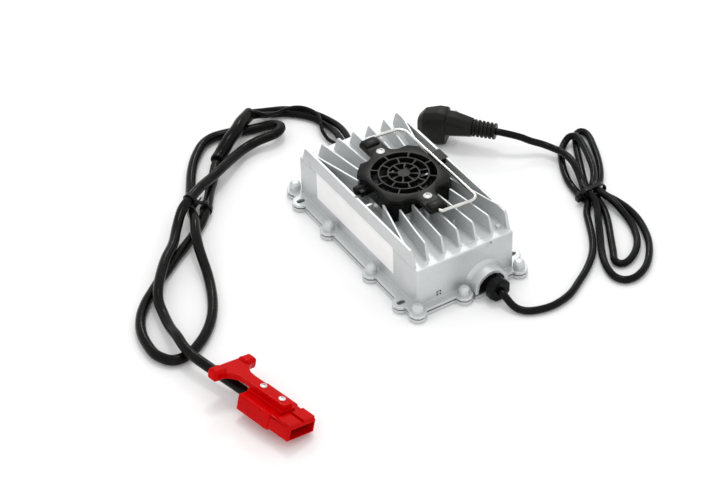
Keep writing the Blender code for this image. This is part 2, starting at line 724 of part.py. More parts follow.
def lugged_plate(bottom, top, inset=0.0):
    """Return the flange outline as a plate: a rectangle with round lugs, and slots in its four ears."""
    half_x = FLANGE_HALF_X - inset
    half_y = FLANGE_HALF_Y - inset
    body = box((-half_x, -half_y, bottom), (half_x, half_y, top))
    lugs = [
        cylinder((x, y, bottom), top - bottom, LUG_RADIUS - inset, LUG_SIDES) for x, y in BOSS_PLACES + EAR_PLACES
    ]
    slots = [
        plate([obround(place, SLOT_WIDTH + 2 * inset, SLOT_LENGTH + 2 * inset)], bottom - SEAT, top + SEAT)
        for place in EAR_PLACES
    ]
    return cut(join(body, *lugs), *slots)


def fin_lateral(x, foot_y):
    """Return how far a fin lies from the middle line, where its foot stands at foot_y."""
    spread = (FIN_FOOT_X - abs(x)) / (FIN_FOOT_X - FIN_INNER_X)
    return foot_y * (1 - FIN_CONVERGENCE * max(spread, 0) ** FIN_CURVE_POWER)


def fin_height(x):
    """Return the height of a fin's top edge: level, then a rounded shoulder and a steep slope to the foot."""
    run = FIN_FOOT_X - abs(x)
    full = FIN_TOP - DECK_TOP
    if run >= FIN_SLOPE_RUN + FIN_SHOULDER:
        return FIN_TOP
    if run >= FIN_SLOPE_RUN:
        drop = (FIN_SLOPE_RUN + FIN_SHOULDER - run) / FIN_SHOULDER
        return FIN_TOP - full * 0.09 * drop**2
    return DECK_TOP + full * 0.91 * run / FIN_SLOPE_RUN


def ribbon(places, tops, root, tip):
    """Return a standing wall along plan points, thinner at its top than at its root."""
    bottom = DECK_TOP - FIN_EMBED

    def build(shape):
        low = [shape.verts.new((x, y, bottom)) for x, y in places]
        edges = [shape.edges.new(pair) for pair in zip(low, low[1:])]
        raised = bmesh.ops.extrude_edge_only(shape, edges=edges)["geom"]
        for vert in [item for item in raised if isinstance(item, bmesh.types.BMVert)]:
            nearest = min(range(len(places)), key=lambda i: (vert.co.xy - Vector(places[i])).length)
            vert.co.z = tops[nearest]

    shape = bmesh.new()
    build(shape)
    mesh = bpy.data.meshes.new("ribbon")
    shape.to_mesh(mesh)
    shape.free()
    blank = SHOP.helper(mesh)
    draft = blank.vertex_groups.new(name="draft")
    full = FIN_TOP - bottom
    for vert in blank.data.vertices:
        share = (vert.co.z - bottom) / full
        draft.add([vert.index], 1 - share * (1 - tip / root), "REPLACE")
    solidify = blank.modifiers.new("Thickness", "SOLIDIFY")
    solidify.thickness = root
    solidify.offset = 0
    solidify.vertex_group = "draft"
    return evaluated_copy(blank)


def fin(foot_y, end, inner_x):
    """Return one full fin at one end of the deck."""
    level_end = FIN_FOOT_X - FIN_SLOPE_RUN - FIN_SHOULDER
    columns = [inner_x + (level_end - inner_x) * i / 3 for i in range(4)]
    columns += [level_end + FIN_SHOULDER / 2, level_end + FIN_SHOULDER, FIN_FOOT_X]
    places = [(end * x, fin_lateral(x, foot_y)) for x in columns]
    return ribbon(places, [fin_height(x) for x in columns], FIN_ROOT_THICKNESS, FIN_TIP_THICKNESS)


def wall_fin(side, end):
    """Return a fin that springs from the side wall and runs in towards the fan."""
    wall_face = BODY_WIDTH / 2 - SIDE_WALL_TIP / 2
    start_y = FAN_SIZE / 2 + SEAT + FIN_ROOT_THICKNESS / 2
    end_x = WALL_FIN_START_X + (wall_face - start_y) / WALL_FIN_SLOPE
    places = [(end * WALL_FIN_START_X, side * start_y), (end * end_x, side * wall_face)]
    return ribbon(places, [FIN_TOP, FIN_TOP], FIN_ROOT_THICKNESS, FIN_TIP_THICKNESS)


def side_wall(side):
    """Return the raised side wall, which slopes down at both ends."""
    foot = BODY_LENGTH / 2 - SIDE_WALL_END_GAP
    shoulder = foot - SIDE_WALL_SLOPE_RUN
    columns = [-foot, -shoulder, -shoulder + FIN_SHOULDER, shoulder - FIN_SHOULDER, shoulder, foot]
    full = FIN_TOP - DECK_TOP
    tops = [DECK_TOP, FIN_TOP - full * 0.14, FIN_TOP, FIN_TOP, FIN_TOP - full * 0.14, DECK_TOP]
    middle_y = side * (BODY_WIDTH / 2 - SIDE_WALL_ROOT / 2)
    blank = ribbon([(x, middle_y) for x in columns], tops, SIDE_WALL_ROOT, SIDE_WALL_TIP)
    for vert in blank.data.vertices:
        if side * vert.co.y > side * middle_y:
            vert.co.y = side * BODY_WIDTH / 2
    return blank


def collar(end):
    """Return the flared arch that shields a cable gland."""
    reach = COLLAR_REACH + SHELL_WALL / 2
    profile = [
        (0, reach),
        (COLLAR_RADIUS, reach),
        (COLLAR_RADIUS, SHELL_WALL / 2 + 2 * COLLAR_FLARE),
        (COLLAR_RADIUS + 0.35 * COLLAR_FLARE, SHELL_WALL / 2 + COLLAR_FLARE),
        (COLLAR_RADIUS + COLLAR_FLARE, SHELL_WALL / 2),
        (COLLAR_RADIUS + COLLAR_FLARE, 0),
        (0, 0),
    ]
    blank = turned(profile, LARGE_SIDES, (BODY_LENGTH / 2 - SHELL_WALL / 2, COLLAR_Y, COLLAR_Z), "X")
    depth = COLLAR_RADIUS * 2
    below = box(
        (0, COLLAR_Y - depth, FLANGE_BOTTOM - depth), (BODY_LENGTH, COLLAR_Y + depth, FLANGE_BOTTOM)
    )
    blank = cut(blank, below)
    if end < 0:
        mirror_x(blank)
    return blank


def collar_bore(end):
    """Return the cutter for the cable opening through a collar, the wall and whatever lies under the collar."""
    start = INNER_HALF_X - SHELL_WALL
    bore = cylinder(
        (start, COLLAR_Y, COLLAR_Z), COLLAR_FACE_X - start + SHELL_WALL, COLLAR_BORE_RADIUS, MEDIUM_SIDES, "X"
    )
    if end < 0:
        mirror_x(bore)
    return bore


def mirror_x(target):
    """Mirror a mesh about the middle plane across X, keeping its faces outwards."""
    target.data.transform(Matrix.Scale(-1, 4, (1, 0, 0)))
    target.data.flip_normals()


def boss(place):
    """Return a screw boss on the flange, with a bevelled crown."""
    crown = BOSS_HEIGHT + FIN_EMBED
    profile = [(0, crown), (BOSS_RADIUS - BOSS_BEVEL, crown), (BOSS_RADIUS, crown - BOSS_BEVEL), (BOSS_RADIUS, 0), (0, 0)]
    return turned(profile, SMALL_SIDES, (*place, FLANGE_TOP - FIN_EMBED))


def make_housing(material):
    """The die-cast housing: shell, flange, bosses, side walls, fins and collars in one piece."""
    body = box((-BODY_LENGTH / 2, -BODY_WIDTH / 2, FLANGE_BOTTOM), (BODY_LENGTH / 2, BODY_WIDTH / 2, DECK_TOP))
    bevel(body, BODY_EDGE_ROUND, 2)
    body = evaluated_copy(body)
    pieces = [lugged_plate(FLANGE_BOTTOM, FLANGE_TOP)]
    pieces += [boss(place) for place in BOSS_PLACES]
    pieces += [side_wall(side) for side in (-1, 1)]
    pieces += [collar(end) for end in (-1, 1)]
    for end in (-1, 1):
        pieces.append(fin(0, end, CENTRE_FIN_INNER_X))
        for pair in range(1, FIN_PAIRS_EACH_SIDE + 1):
            pieces += [fin(side * pair * FIN_PITCH, end, FIN_INNER_X) for side in (-1, 1)]
        pieces += [wall_fin(side, end) for side in (-1, 1)]
        pieces.append(
            cylinder((end * COVER_SCREW_X, 0, DECK_TOP - FIN_EMBED), FAN_TOP - DECK_TOP + FIN_EMBED, COVER_POST_RADIUS)
        )
    wall_inner = BODY_WIDTH / 2 - SIDE_WALL_ROOT
    pieces.append(
        box(
            (WALL_RIB_X - FIN_ROOT_THICKNESS / 2, -wall_inner - FIN_EMBED, DECK_TOP - FIN_EMBED),
            (WALL_RIB_X + FIN_ROOT_THICKNESS / 2, -wall_inner + WALL_RIB_LENGTH, DECK_TOP + WALL_RIB_HEIGHT),
        )
    )
    pieces += [
        cylinder((x, y, DECK_TOP - FIN_EMBED), DECK_POST_HEIGHT + FIN_EMBED, DECK_POST_RADIUS, SMALL_SIDES)
        for x, y in DECK_POSTS
    ]
    body = join(body, *pieces)
    tools = [
        box((-INNER_HALF_X, -INNER_HALF_Y, 0), (INNER_HALF_X, INNER_HALF_Y, DECK_TOP - DECK_THICKNESS)),
        centred_box((WALL_NICK_X, -BODY_WIDTH / 2, FIN_TOP), (WALL_NICK_WIDTH, 2 * SIDE_WALL_ROOT, 2 * WALL_NICK_DEPTH)),
        box(
            (FAN_ARM_X[0] - SEAT, wall_inner - SIDE_WALL_ROOT, FAN_ARM_BOTTOM - SEAT),
            (FAN_ARM_X[1] + SEAT, BODY_WIDTH, FIN_TOP + SIDE_WALL_ROOT),
        ),
    ]
    for end in (-1, 1):
        tools.append(collar_bore(end))
        tools.append(
            cylinder((end * COVER_SCREW_X, 0, FAN_TOP - COVER_SCREW_SHANK), COVER_SCREW_SHANK + SEAT, SCREW_RADIUS + SEAT)
        )
    hole_top = SCREW_LENGTH + SCREW_RUN_OUT
    tools += [cylinder((x, y, 0), hole_top, SCREW_RADIUS + SEAT, HOLE_SIDES) for x, y in BOSS_PLACES]
    for dy, dz in ((1, 0), (-1, 0), (0, 1), (0, -1)):
        place = (INNER_HALF_X - SEAT, VENT_CENTRE_Y + dy * VENT_SPREAD, VENT_CENTRE_Z + dz * VENT_SPREAD)
        tools.append(cylinder(place, SHELL_WALL + 2 * SEAT, VENT_RADIUS, 8, "X"))
    body = cut(body, *tools)
    SHOP.part("housing", body, material)


def collar_tongues(bottom, top, inset=0.0):
    """Return the two tongues of a plate that close the collars from below."""
    half = COLLAR_RADIUS - inset
    near = FLANGE_HALF_X - LUG_RADIUS / 2
    far = COLLAR_FACE_X - inset
    return [
        box((min(end * near, end * far), COLLAR_Y - half, bottom), (max(end * near, end * far), COLLAR_Y + half, top))
        for end in (-1, 1)
    ]


def countersink(place):
    """Return the cutter for one countersunk screw hole through the base plate."""
    profile = [
        (0, BASE_THICKNESS + SEAT),
        (SCREW_RADIUS + SEAT, BASE_THICKNESS + SEAT),
        (SCREW_RADIUS + SEAT, SCREW_HEAD_DEPTH + SEAT),
        (SCREW_HEAD_RADIUS + 2 * SEAT, -SEAT),
        (0, -SEAT),
    ]
    return turned(profile, SCREW_SIDES, (*place, 0))


def make_base(material, gasket_material):
    """The base plate with its board standoffs, and the gasket on it."""
    base = lugged_plate(0, BASE_THICKNESS)
    additions = [
        cylinder((x, y, BASE_THICKNESS - FIN_EMBED), STANDOFF_TOP - BASE_THICKNESS + FIN_EMBED, STANDOFF_RADIUS)
        for x, y in STANDOFF_PLACES
    ]
    additions += collar_tongues(0, BASE_THICKNESS)
    base = join(base, *additions)
    tools = [countersink(place) for place in BOSS_PLACES]
    tools += [
        cylinder((x, y, STANDOFF_TOP - BOARD_SCREW_LENGTH), BOARD_SCREW_LENGTH + SEAT, BOARD_SCREW_RADIUS + SEAT)
        for x, y in STANDOFF_PLACES
    ]
    base = cut(base, *tools)
    SHOP.part("base_plate", base, material)
    gasket = lugged_plate(GASKET_BOTTOM, GASKET_BOTTOM + GASKET_THICKNESS, GASKET_INSET)
    opening = box((-INNER_HALF_X, -INNER_HALF_Y, 0), (INNER_HALF_X, INNER_HALF_Y, FLANGE_TOP))
    holes = [cylinder((x, y, 0), FLANGE_TOP, SCREW_RADIUS + SEAT, HOLE_SIDES) for x, y in BOSS_PLACES]
    gasket = join(gasket, *collar_tongues(GASKET_BOTTOM, GASKET_BOTTOM + GASKET_THICKNESS, GASKET_INSET))
    SHOP.part("base_gasket", cut(gasket, opening, *holes), gasket_material)


def screw_body(head_radius, head_height, shank_radius, length, countersunk, steps=SCREW_SIDES):
    """Return a screw standing on its axis, head uppermost and the underside of the head at zero."""
    if countersunk:
        profile = [
            (0, head_height), (head_radius, head_height), (shank_radius, 0), (shank_radius, -length), (0, -length),
        ]
    else:
        profile = [
            (0, head_height), (head_radius * 0.6, head_height * 0.92), (head_radius, head_height * 0.45),
            (head_radius, 0), (shank_radius, 0), (shank_radius, -length), (0, -length),
        ]
    return turned(profile, steps)


def make_base_screws(material):
    """Countersunk screws that hold the base plate to the housing."""
    for number, (x, y) in enumerate(BOSS_PLACES, 1):
        blank = screw_body(SCREW_HEAD_RADIUS, SCREW_HEAD_DEPTH, SCREW_RADIUS, SCREW_LENGTH - SCREW_HEAD_DEPTH, True)
        blank.data.transform(Matrix.Rotation(math.pi, 4, "X"))
        blank.location = (x, y, SEAT + SCREW_HEAD_DEPTH)
        SHOP.part(f"base_screw_{number}", blank, material)


def make_glands(material):
    """A gland body that fills each collar, and the tapered clamping nut in front of it."""
    for end, name in ((1, "mains_gland"), (-1, "charge_gland")):
        inner = INNER_HALF_X - GLAND_INNER_REACH
        neck_start = COLLAR_FACE_X - GLAND_INNER_REACH
        radius = COLLAR_BORE_RADIUS - SEAT
        body = cylinder((inner, COLLAR_Y, COLLAR_Z), neck_start - inner, radius, MEDIUM_SIDES, "X")
        below = box((0, -BODY_WIDTH, -BODY_WIDTH), (BODY_LENGTH, BODY_WIDTH, FLANGE_BOTTOM))
        stud = cylinder(
            (neck_start - FIN_EMBED, COLLAR_Y, GLAND_AXIS_Z + SEAT),
            COLLAR_FACE_X - neck_start + FIN_EMBED,
            GLAND_NECK_RADIUS - SEAT,
            MEDIUM_SIDES,
            "X",
        )
        body = cut(join(body, stud), below)
        base = (NUT_BASE_X, COLLAR_Y, GLAND_AXIS_Z)
        nut = cone(base, GLAND_NUT_LENGTH, GLAND_NUT_RADIUS, GLAND_TIP_RADIUS, GLAND_NUT_SIDES, "X")
        nut.data.transform(turn_about_x(COLLAR_Y, GLAND_AXIS_Z, 180 / GLAND_NUT_SIDES))
        bevel(nut, GLAND_NUT_EDGE)
        nut = evaluated_copy(nut)
        if end > 0:
            exits = [(0, 0, MAINS_RADIUS)]
        else:
            exits = LEAD_EXITS
        start = NUT_FACE_X - GLAND_POCKET
        pockets = [
            cylinder(
                (start, COLLAR_Y + y, GLAND_AXIS_Z + z), 2 * GLAND_POCKET, lead_radius + SEAT, SMALL_SIDES, "X"
            )
            for y, z, lead_radius in exits
        ]
        nut = cut(nut, *pockets)
        if end < 0:
            mirror_x(body)
            mirror_x(nut)
        SHOP.part(f"{name}_body", body, material)
        SHOP.part(f"{name}_nut", nut, material)


LEAD_EXITS = (
    (LEAD_SPREAD, LEAD_RISE, THICK_LEAD_RADIUS),
    (-LEAD_SPREAD, LEAD_RISE, THICK_LEAD_RADIUS),
    (0, -THIN_LEAD_DROP, THIN_LEAD_RADIUS),
)


def turn_about_x(y, z, degrees):
    """Return the matrix of a turn about an axis parallel to X."""
    centre = Matrix.Translation((0, y, z))
    return centre @ Matrix.Rotation(math.radians(degrees), 4, "X") @ centre.inverted()


def fan_outline():
    """Return the square outline of the fan frame with cut corners."""
    half = FAN_SIZE / 2
    near = half - FAN_CORNER
    right = [(near, -half), (half, -near), (half, near), (near, half)]
    return right + [(-x, -y) for x, y in right]


def make_fan_frame(material):
    """The fan frame: a bored ring on four legs, a motor spider with its bush, and two side arms."""
    frame = plate([fan_outline(), circle((0, 0), FAN_BORE_RADIUS, LARGE_SIDES)], FAN_RING_BOTTOM, FAN_TOP)
    half = FAN_SIZE / 2
    pieces = []
    for sx in (-1, 1):
        for sy in (-1, 1):
            centre = (sx * (half - FAN_CORNER), sy * (half - FAN_CORNER))
            bottom = DECK_TOP + SEAT
            pieces.append(
                centred_box(
                    (centre[0], centre[1], (bottom + FAN_RING_BOTTOM + FIN_EMBED) / 2),
                    (FAN_LEG_SIZE, FAN_LEG_SIZE, FAN_RING_BOTTOM + FIN_EMBED - bottom),
                )
            )
    spider_top = FAN_RING_BOTTOM + FAN_SPIDER_THICKNESS
    reach = FAN_BORE_RADIUS + FIN_EMBED
    for size in ((2 * reach, FAN_STRUT_WIDTH), (FAN_STRUT_WIDTH, 2 * reach)):
        pieces.append(
            centred_box((0, 0, (FAN_RING_BOTTOM + spider_top) / 2), (size[0], size[1], FAN_SPIDER_THICKNESS))
        )
    pieces.append(cylinder((0, 0, FAN_RING_BOTTOM), FAN_SPIDER_THICKNESS, FAN_MOTOR_RADIUS, MEDIUM_SIDES))
    pieces.append(cylinder((0, 0, FAN_RING_BOTTOM), FAN_SPIDER_THICKNESS + FAN_BUSH_HEIGHT, FAN_BUSH_RADIUS, SMALL_SIDES))
    wall_arm_end = BODY_WIDTH / 2 + FAN_ARM_PROUD
    lead_arm_start = FAN_ARM_X[0] + LEAD_ARM_SETBACK
    pieces.append(box((FAN_ARM_X[0], half - FIN_EMBED, FAN_ARM_BOTTOM), (FAN_ARM_X[1], wall_arm_end, FAN_ARM_TOP)))
    pieces.append(box((lead_arm_start, -LEAD_ARM_REACH, FAN_ARM_BOTTOM), (FAN_ARM_X[1], -half + FIN_EMBED, FAN_ARM_TOP)))
    grommet_end = LEAD_ARM_REACH + GROMMET_PROUD
    grommet_base = (lead_arm_start + GROMMET_RADIUS, -grommet_end, (FAN_ARM_BOTTOM + FAN_ARM_TOP) / 2)
    pieces.append(cylinder(grommet_base, grommet_end - half + FIN_EMBED, GROMMET_RADIUS, SMALL_SIDES, "Y"))
    frame = join(frame, *pieces)
    bore = cylinder(
        (0, 0, FAN_RING_BOTTOM - SEAT), FAN_SPIDER_THICKNESS + FAN_BUSH_HEIGHT + 2 * SEAT,
        FAN_SHAFT_RADIUS + FAN_SHAFT_CLEARANCE, SMALL_SIDES,
    )
    SHOP.part("fan_frame", cut(frame, bore), material)


def blade(angle):
    """Return one twisted fan blade, from inside the hub wall to its tip."""
    tip = FAN_BORE_RADIUS - FAN_BLADE_TIP_CLEARANCE
    bottom = FAN_RING_BOTTOM + FAN_SPIDER_THICKNESS + FAN_END_PLAY
    middle = (bottom + FAN_TOP) / 2
    stations = ((FAN_HUB_RADIUS - FAN_HUB_WALL / 2, 0.36, 0.42), ((FAN_HUB_RADIUS + tip) / 2, 0.6, 0.38), (tip, 0.78, 0.32))
    depth = FAN_TOP - bottom - FAN_BLADE_THICKNESS * 2

    def build(shape):
        rows = []
        for radius, chord, rise in stations:
            spread = chord * 2 * math.pi / FAN_BLADES
            row = []
            for share in (-0.5, 0, 0.5):
                turn = angle + share * spread
                camber = 0.06 * depth if share == 0 else 0
                height = middle - share * 2 * rise * depth + camber
                row.append(shape.verts.new((radius * math.cos(turn), radius * math.sin(turn), height)))
            rows.append(row)
        for inner, outer in zip(rows, rows[1:]):
            for i in range(2):
                shape.faces.new((inner[i], inner[i + 1], outer[i + 1], outer[i]))

    blank = mesh_from(build)
    solidify = blank.modifiers.new("Thickness", "SOLIDIFY")
    solidify.thickness = FAN_BLADE_THICKNESS
    solidify.offset = 0
    return evaluated_copy(blank)


def make_fan_rotor(material):
    """The rotor: hub cup, shaft in the frame's bush, and seven blades. It turns about the vertical axis."""
    bush_top = FAN_RING_BOTTOM + FAN_SPIDER_THICKNESS + FAN_BUSH_HEIGHT
    bottom = FAN_RING_BOTTOM + FAN_SPIDER_THICKNESS + FAN_END_PLAY
    top = FAN_TOP - FAN_END_PLAY
    ceiling = bush_top + SEAT
    shaft_end = FAN_RING_BOTTOM + SEAT
    profile = [
        (0, top),
        (FAN_HUB_RADIUS - FAN_HUB_WALL, top),
        (FAN_HUB_RADIUS, top - FAN_HUB_WALL / 2),
        (FAN_HUB_RADIUS, bottom),
        (FAN_HUB_RADIUS - FAN_HUB_WALL, bottom),
        (FAN_HUB_RADIUS - FAN_HUB_WALL, ceiling),
        (FAN_SHAFT_RADIUS, ceiling),
        (FAN_SHAFT_RADIUS, shaft_end),
        (0, shaft_end),
    ]
    hub = turned(profile, MEDIUM_SIDES)
    blades = [blade(2 * math.pi * number / FAN_BLADES) for number in range(FAN_BLADES)]
    SHOP.part("fan_rotor", join(hub, *blades), material)


def cover_outline():
    """Return the fan cover's outline: a square body that narrows by concave fillets into two tongues."""
    half = COVER_HALF
    near = half - COVER_CHAMFER
    low = TONGUE_CENTRE_Y - TONGUE_WIDTH / 2
    high = TONGUE_CENTRE_Y + TONGUE_WIDTH / 2
    fillet = COVER_FILLET
    corner = TONGUE_CORNER
    right = [(near, -half), (half, -near)]
    right += arc((half + fillet, low - fillet), fillet, 180, 90, 4)
    right += arc((TONGUE_REACH - corner, low + corner), corner, -90, 0, 2)
    right += arc((TONGUE_REACH - corner, high - corner), corner, 0, 90, 2)
    right += arc((half + fillet, high + fillet), fillet, 270, 180, 4)
    right += [(half, near), (near, half)]
    left = [(-x, y) for x, y in reversed(right)]
    return right + left


def grille_slots():
    """Return the slots of the web grille: three rings of arcs between spokes, the middle ring turned half a step."""
    slots = []
    step = 360 / GRILLE_SPOKES
    for ring, (inner, outer) in enumerate(GRILLE_RADII):
        offset = step / 2 if ring == 1 else 0
        for spoke in range(GRILLE_SPOKES):
            start = offset + spoke * step
            inner_half = math.degrees(GRILLE_SPOKE_WIDTH / 2 / inner)
            outer_half = math.degrees(GRILLE_SPOKE_WIDTH / 2 / outer)
            far = arc((0, 0), outer, start + outer_half, start + step - outer_half, 3)
            near = arc((0, 0), inner, start + step - inner_half, start + inner_half, 2)
            slots.append(far + near)
    return slots


def make_fan_cover(material):
    """The fan cover: web grille, counterbored screw holes, and a barrel on each tongue for the bail's pins."""
    cover = plate([cover_outline()] + grille_slots(), FAN_COVER_BOTTOM, COVER_TOP)
    barrels = []
    for end in (-1, 1):
        outer = TONGUE_REACH - BARREL_INSET
        inner = outer - BARREL_LENGTH
        low = (min(end * inner, end * outer), PIVOT_Y - BARREL_HALF_WIDTH, COVER_TOP - FIN_EMBED)
        high = (max(end * inner, end * outer), PIVOT_Y + BARREL_HALF_WIDTH, PIVOT_Z + BARREL_RADIUS)
        block = rounded_box(low, high, BARREL_EDGE, 1)
        barrels.append(evaluated_copy(block))
    cover = join(cover, *barrels)
    tools = []
    for end in (-1, 1):
        hole_base = (end * COVER_SCREW_X, 0, FAN_COVER_BOTTOM - SEAT)
        tools.append(cylinder(hole_base, COVER_THICKNESS + 2 * SEAT, SCREW_RADIUS + SEAT))
        tools.append(
            cylinder(
                (end * COVER_SCREW_X, 0, COVER_TOP - COVER_SCREW_HEAD_HEIGHT * 0.6), COVER_SCREW_HEAD_HEIGHT,
                COVER_SCREW_HEAD_RADIUS + SEAT, MEDIUM_SIDES,
            )
        )
        start = BAIL_LEG_X - WIRE_RADIUS - BAIL_PIN_LENGTH - 2 * SEAT
        bore = cylinder((start, PIVOT_Y, PIVOT_Z), BAIL_PIN_LENGTH * 2, WIRE_RADIUS + PIVOT_CLEARANCE, SMALL_SIDES, "X")
        if end < 0:
            mirror_x(bore)
        tools.append(bore)
    SHOP.part("fan_cover", cut(cover, *tools), material)


def make_cover_screws(material):
    """Pan-head screws through the cover into the housing's two posts."""
    seat = COVER_TOP - COVER_SCREW_HEAD_HEIGHT * 0.6 + SEAT
    for number, end in enumerate((-1, 1), 1):
        length = seat - (FAN_TOP - COVER_SCREW_SHANK) - 2 * SEAT
        blank = screw_body(COVER_SCREW_HEAD_RADIUS, COVER_SCREW_HEAD_HEIGHT, SCREW_RADIUS, length, False, MEDIUM_SIDES)
        blank.location = (end * COVER_SCREW_X, 0, seat)
        SHOP.part(f"cover_screw_{number}", blank, material)


def make_bail(material):
    """The wire bail. Its origin is on its pivot axis, and at rest it slopes down onto the fin tops."""
    inner = BAIL_LEG_X - WIRE_RADIUS - BAIL_PIN_LENGTH
    bend = BAIL_PIN_BEND
    corner = BAIL_CORNER
    half = [(inner, 0)]
    half += arc((BAIL_LEG_X - bend, bend), bend, -90, 0, 3)
    half += arc((BAIL_LEG_X - corner, BAIL_REACH - corner), corner, 0, 90, 5)
    path = half + [(-x, y) for x, y in reversed(half)]
    blank = tube([(x, y, 0) for x, y in path], WIRE_RADIUS, 2)
    bar_height = FIN_TOP + WIRE_RADIUS + SEAT
    blank.rotation_euler = (-math.asin((PIVOT_Z - bar_height) / BAIL_REACH), 0, 0)
    blank.location = (0, PIVOT_Y, PIVOT_Z)
    SHOP.part("bail_handle", blank, material)


def make_board(material, screw_material):
    """The circuit board on the base plate's standoffs, and its screws."""
    board = plate(
        [rounded_rectangle(BOARD_LENGTH / 2, BOARD_WIDTH / 2, BOARD_CORNER, 2)]
        + [circle(place, SCREW_RADIUS + SEAT, SMALL_SIDES) for place in STANDOFF_PLACES],
        BOARD_UNDERSIDE,
        BOARD_TOP,
    )
    SHOP.part("circuit_board", board, material)
    for number, (x, y) in enumerate(STANDOFF_PLACES, 1):
        blank = screw_body(
            BOARD_SCREW_HEAD_RADIUS, BOARD_SCREW_HEAD_HEIGHT, BOARD_SCREW_RADIUS, BOARD_SCREW_LENGTH, False
        )
        blank.location = (x, y, BOARD_TOP + SEAT)
        SHOP.part(f"board_screw_{number}", blank, screw_material)


def make_transformer(core_material, winding_material):
    """The transformer: a windowed ferrite core and the winding round its middle limb."""
    x, y = TRANSFORMER_AT
    length, depth, height = TRANSFORMER_SIZE
    bottom = BOARD_TOP + SEAT
    core = box((x - length / 2, y - depth / 2, bottom), (x + length / 2, y + depth / 2, bottom + height))
    windows = []
    for side in (-1, 1):
        near = x + side * CORE_CENTRE_LIMB / 2
        far = x + side * (length / 2 - CORE_LIMB)
        windows.append(
            box((min(near, far), y - depth, bottom + CORE_LIMB), (max(near, far), y + depth, bottom + height - CORE_LIMB))
        )
    SHOP.part("transformer_core", cut(core, *windows), core_material)
    outer_x = length / 2 - CORE_LIMB - SEAT
    outer_y = depth / 2 + WINDING_OVERHANG
    inner = rounded_rectangle(CORE_CENTRE_LIMB / 2 + SEAT, depth / 2 + SEAT, WINDING_INNER_CORNER, 1, (x, y))
    winding = plate(
        [rounded_rectangle(outer_x, outer_y, WINDING_CORNER, 3, (x, y)), inner],
        bottom + CORE_LIMB + SEAT,
        bottom + height - CORE_LIMB - SEAT,
    )
    SHOP.part("transformer_winding", winding, winding_material)


def make_components(black, sleeve_blue, ferrite, copper, steel, glass):
    """Choke, capacitors, power semiconductors with their clamp bar, and fuse."""
    floor = BOARD_TOP + SEAT
    x, y = CHOKE_AT

    def ring(shape):
        sides = 8
        rounds = SMALL_SIDES
        grid = []
        for i in range(rounds):
            turn = 2 * math.pi * i / rounds
            row = []
            for j in range(sides):
                angle = 2 * math.pi * (j + 0.5) / sides
                radius = CHOKE_RADIUS - CHOKE_THICKNESS + CHOKE_THICKNESS * math.cos(angle)
                row.append(
                    shape.verts.new(
                        (x + radius * math.cos(turn), y + radius * math.sin(turn), floor + CHOKE_THICKNESS * (1 + math.sin(angle)))
                    )
                )
            grid.append(row)
        for i in range(rounds):
            for j in range(sides):
                following = grid[(i + 1) % rounds]
                shape.faces.new((grid[i][j], following[j], following[(j + 1) % sides], grid[i][(j + 1) % sides]))

    SHOP.part("line_choke", mesh_from(ring), copper)
    groups = (
        ("bulk_capacitor", BULK_CAPACITORS_AT, BULK_CAPACITOR_SIZE, black),
        ("output_capacitor", OUTPUT_CAPACITORS_AT, OUTPUT_CAPACITOR_SIZE, sleeve_blue),
    )
    for name, places, (radius, height), material in groups:
        for number, (px, py) in enumerate(places, 1):
            can = cylinder((px, py, floor), height, radius, MEDIUM_SIDES)
            bevel(can, CAN_EDGE, 1, RIM_LIMIT)
            SHOP.part(f"{name}_{number}", evaluated_copy(can), material)
    width, depth, height = SEMICONDUCTOR_SIZE
    back = INNER_HALF_Y - SEAT
    names = ("output_rectifier", "power_transistor_1", "power_transistor_2")
    for name, px in zip(names, SEMICONDUCTOR_XS):
        low = floor + SEMICONDUCTOR_LEG_HEIGHT
        body = box((px - width / 2, back - depth, low), (px + width / 2, back, low + height))
        legs = [
            centred_box(
                (px + shift * width / 3, back - depth / 2, (floor + low) / 2), (*SEMICONDUCTOR_LEG_SIZE, low - floor + SEAT)
            )
            for shift in (-1, 0, 1)
        ]
        SHOP.part(name, join(body, *legs), black)
    middle = floor + SEMICONDUCTOR_LEG_HEIGHT + height / 2
    front = back - depth - SEAT
    low_x = min(SEMICONDUCTOR_XS) - width / 2 - CLAMP_BAR_OVERHANG
    high_x = max(SEMICONDUCTOR_XS) + width / 2 + CLAMP_BAR_OVERHANG
    bottom = middle - CLAMP_BAR_HEIGHT / 2
    top = middle + CLAMP_BAR_HEIGHT / 2
    bar = box((low_x, front - CLAMP_BAR_THICKNESS, bottom), (high_x, front, top))
    ends = [
        box((foot_x, front - SEAT, bottom), (foot_x + CLAMP_BAR_FOOT, back, top))
        for foot_x in (low_x, high_x - CLAMP_BAR_FOOT)
    ]
    SHOP.part("clamp_bar", join(bar, *ends), steel)
    x, y = FUSE_AT
    height = floor + FUSE_RADIUS + FUSE_RISE
    fuse = cylinder((x - FUSE_LENGTH / 2, y, height), FUSE_LENGTH, FUSE_RADIUS, SMALL_SIDES, "X")
    clips = [
        centred_box(
            (x + side * (FUSE_LENGTH - FUSE_CLIP) / 2, y, (floor + height) / 2),
            (FUSE_CLIP, 2 * FUSE_RADIUS + FUSE_CLIP_MARGIN, height - floor),
        )
        for side in (-1, 1)
    ]
    SHOP.part("fuse", join(fuse, *clips), glass)


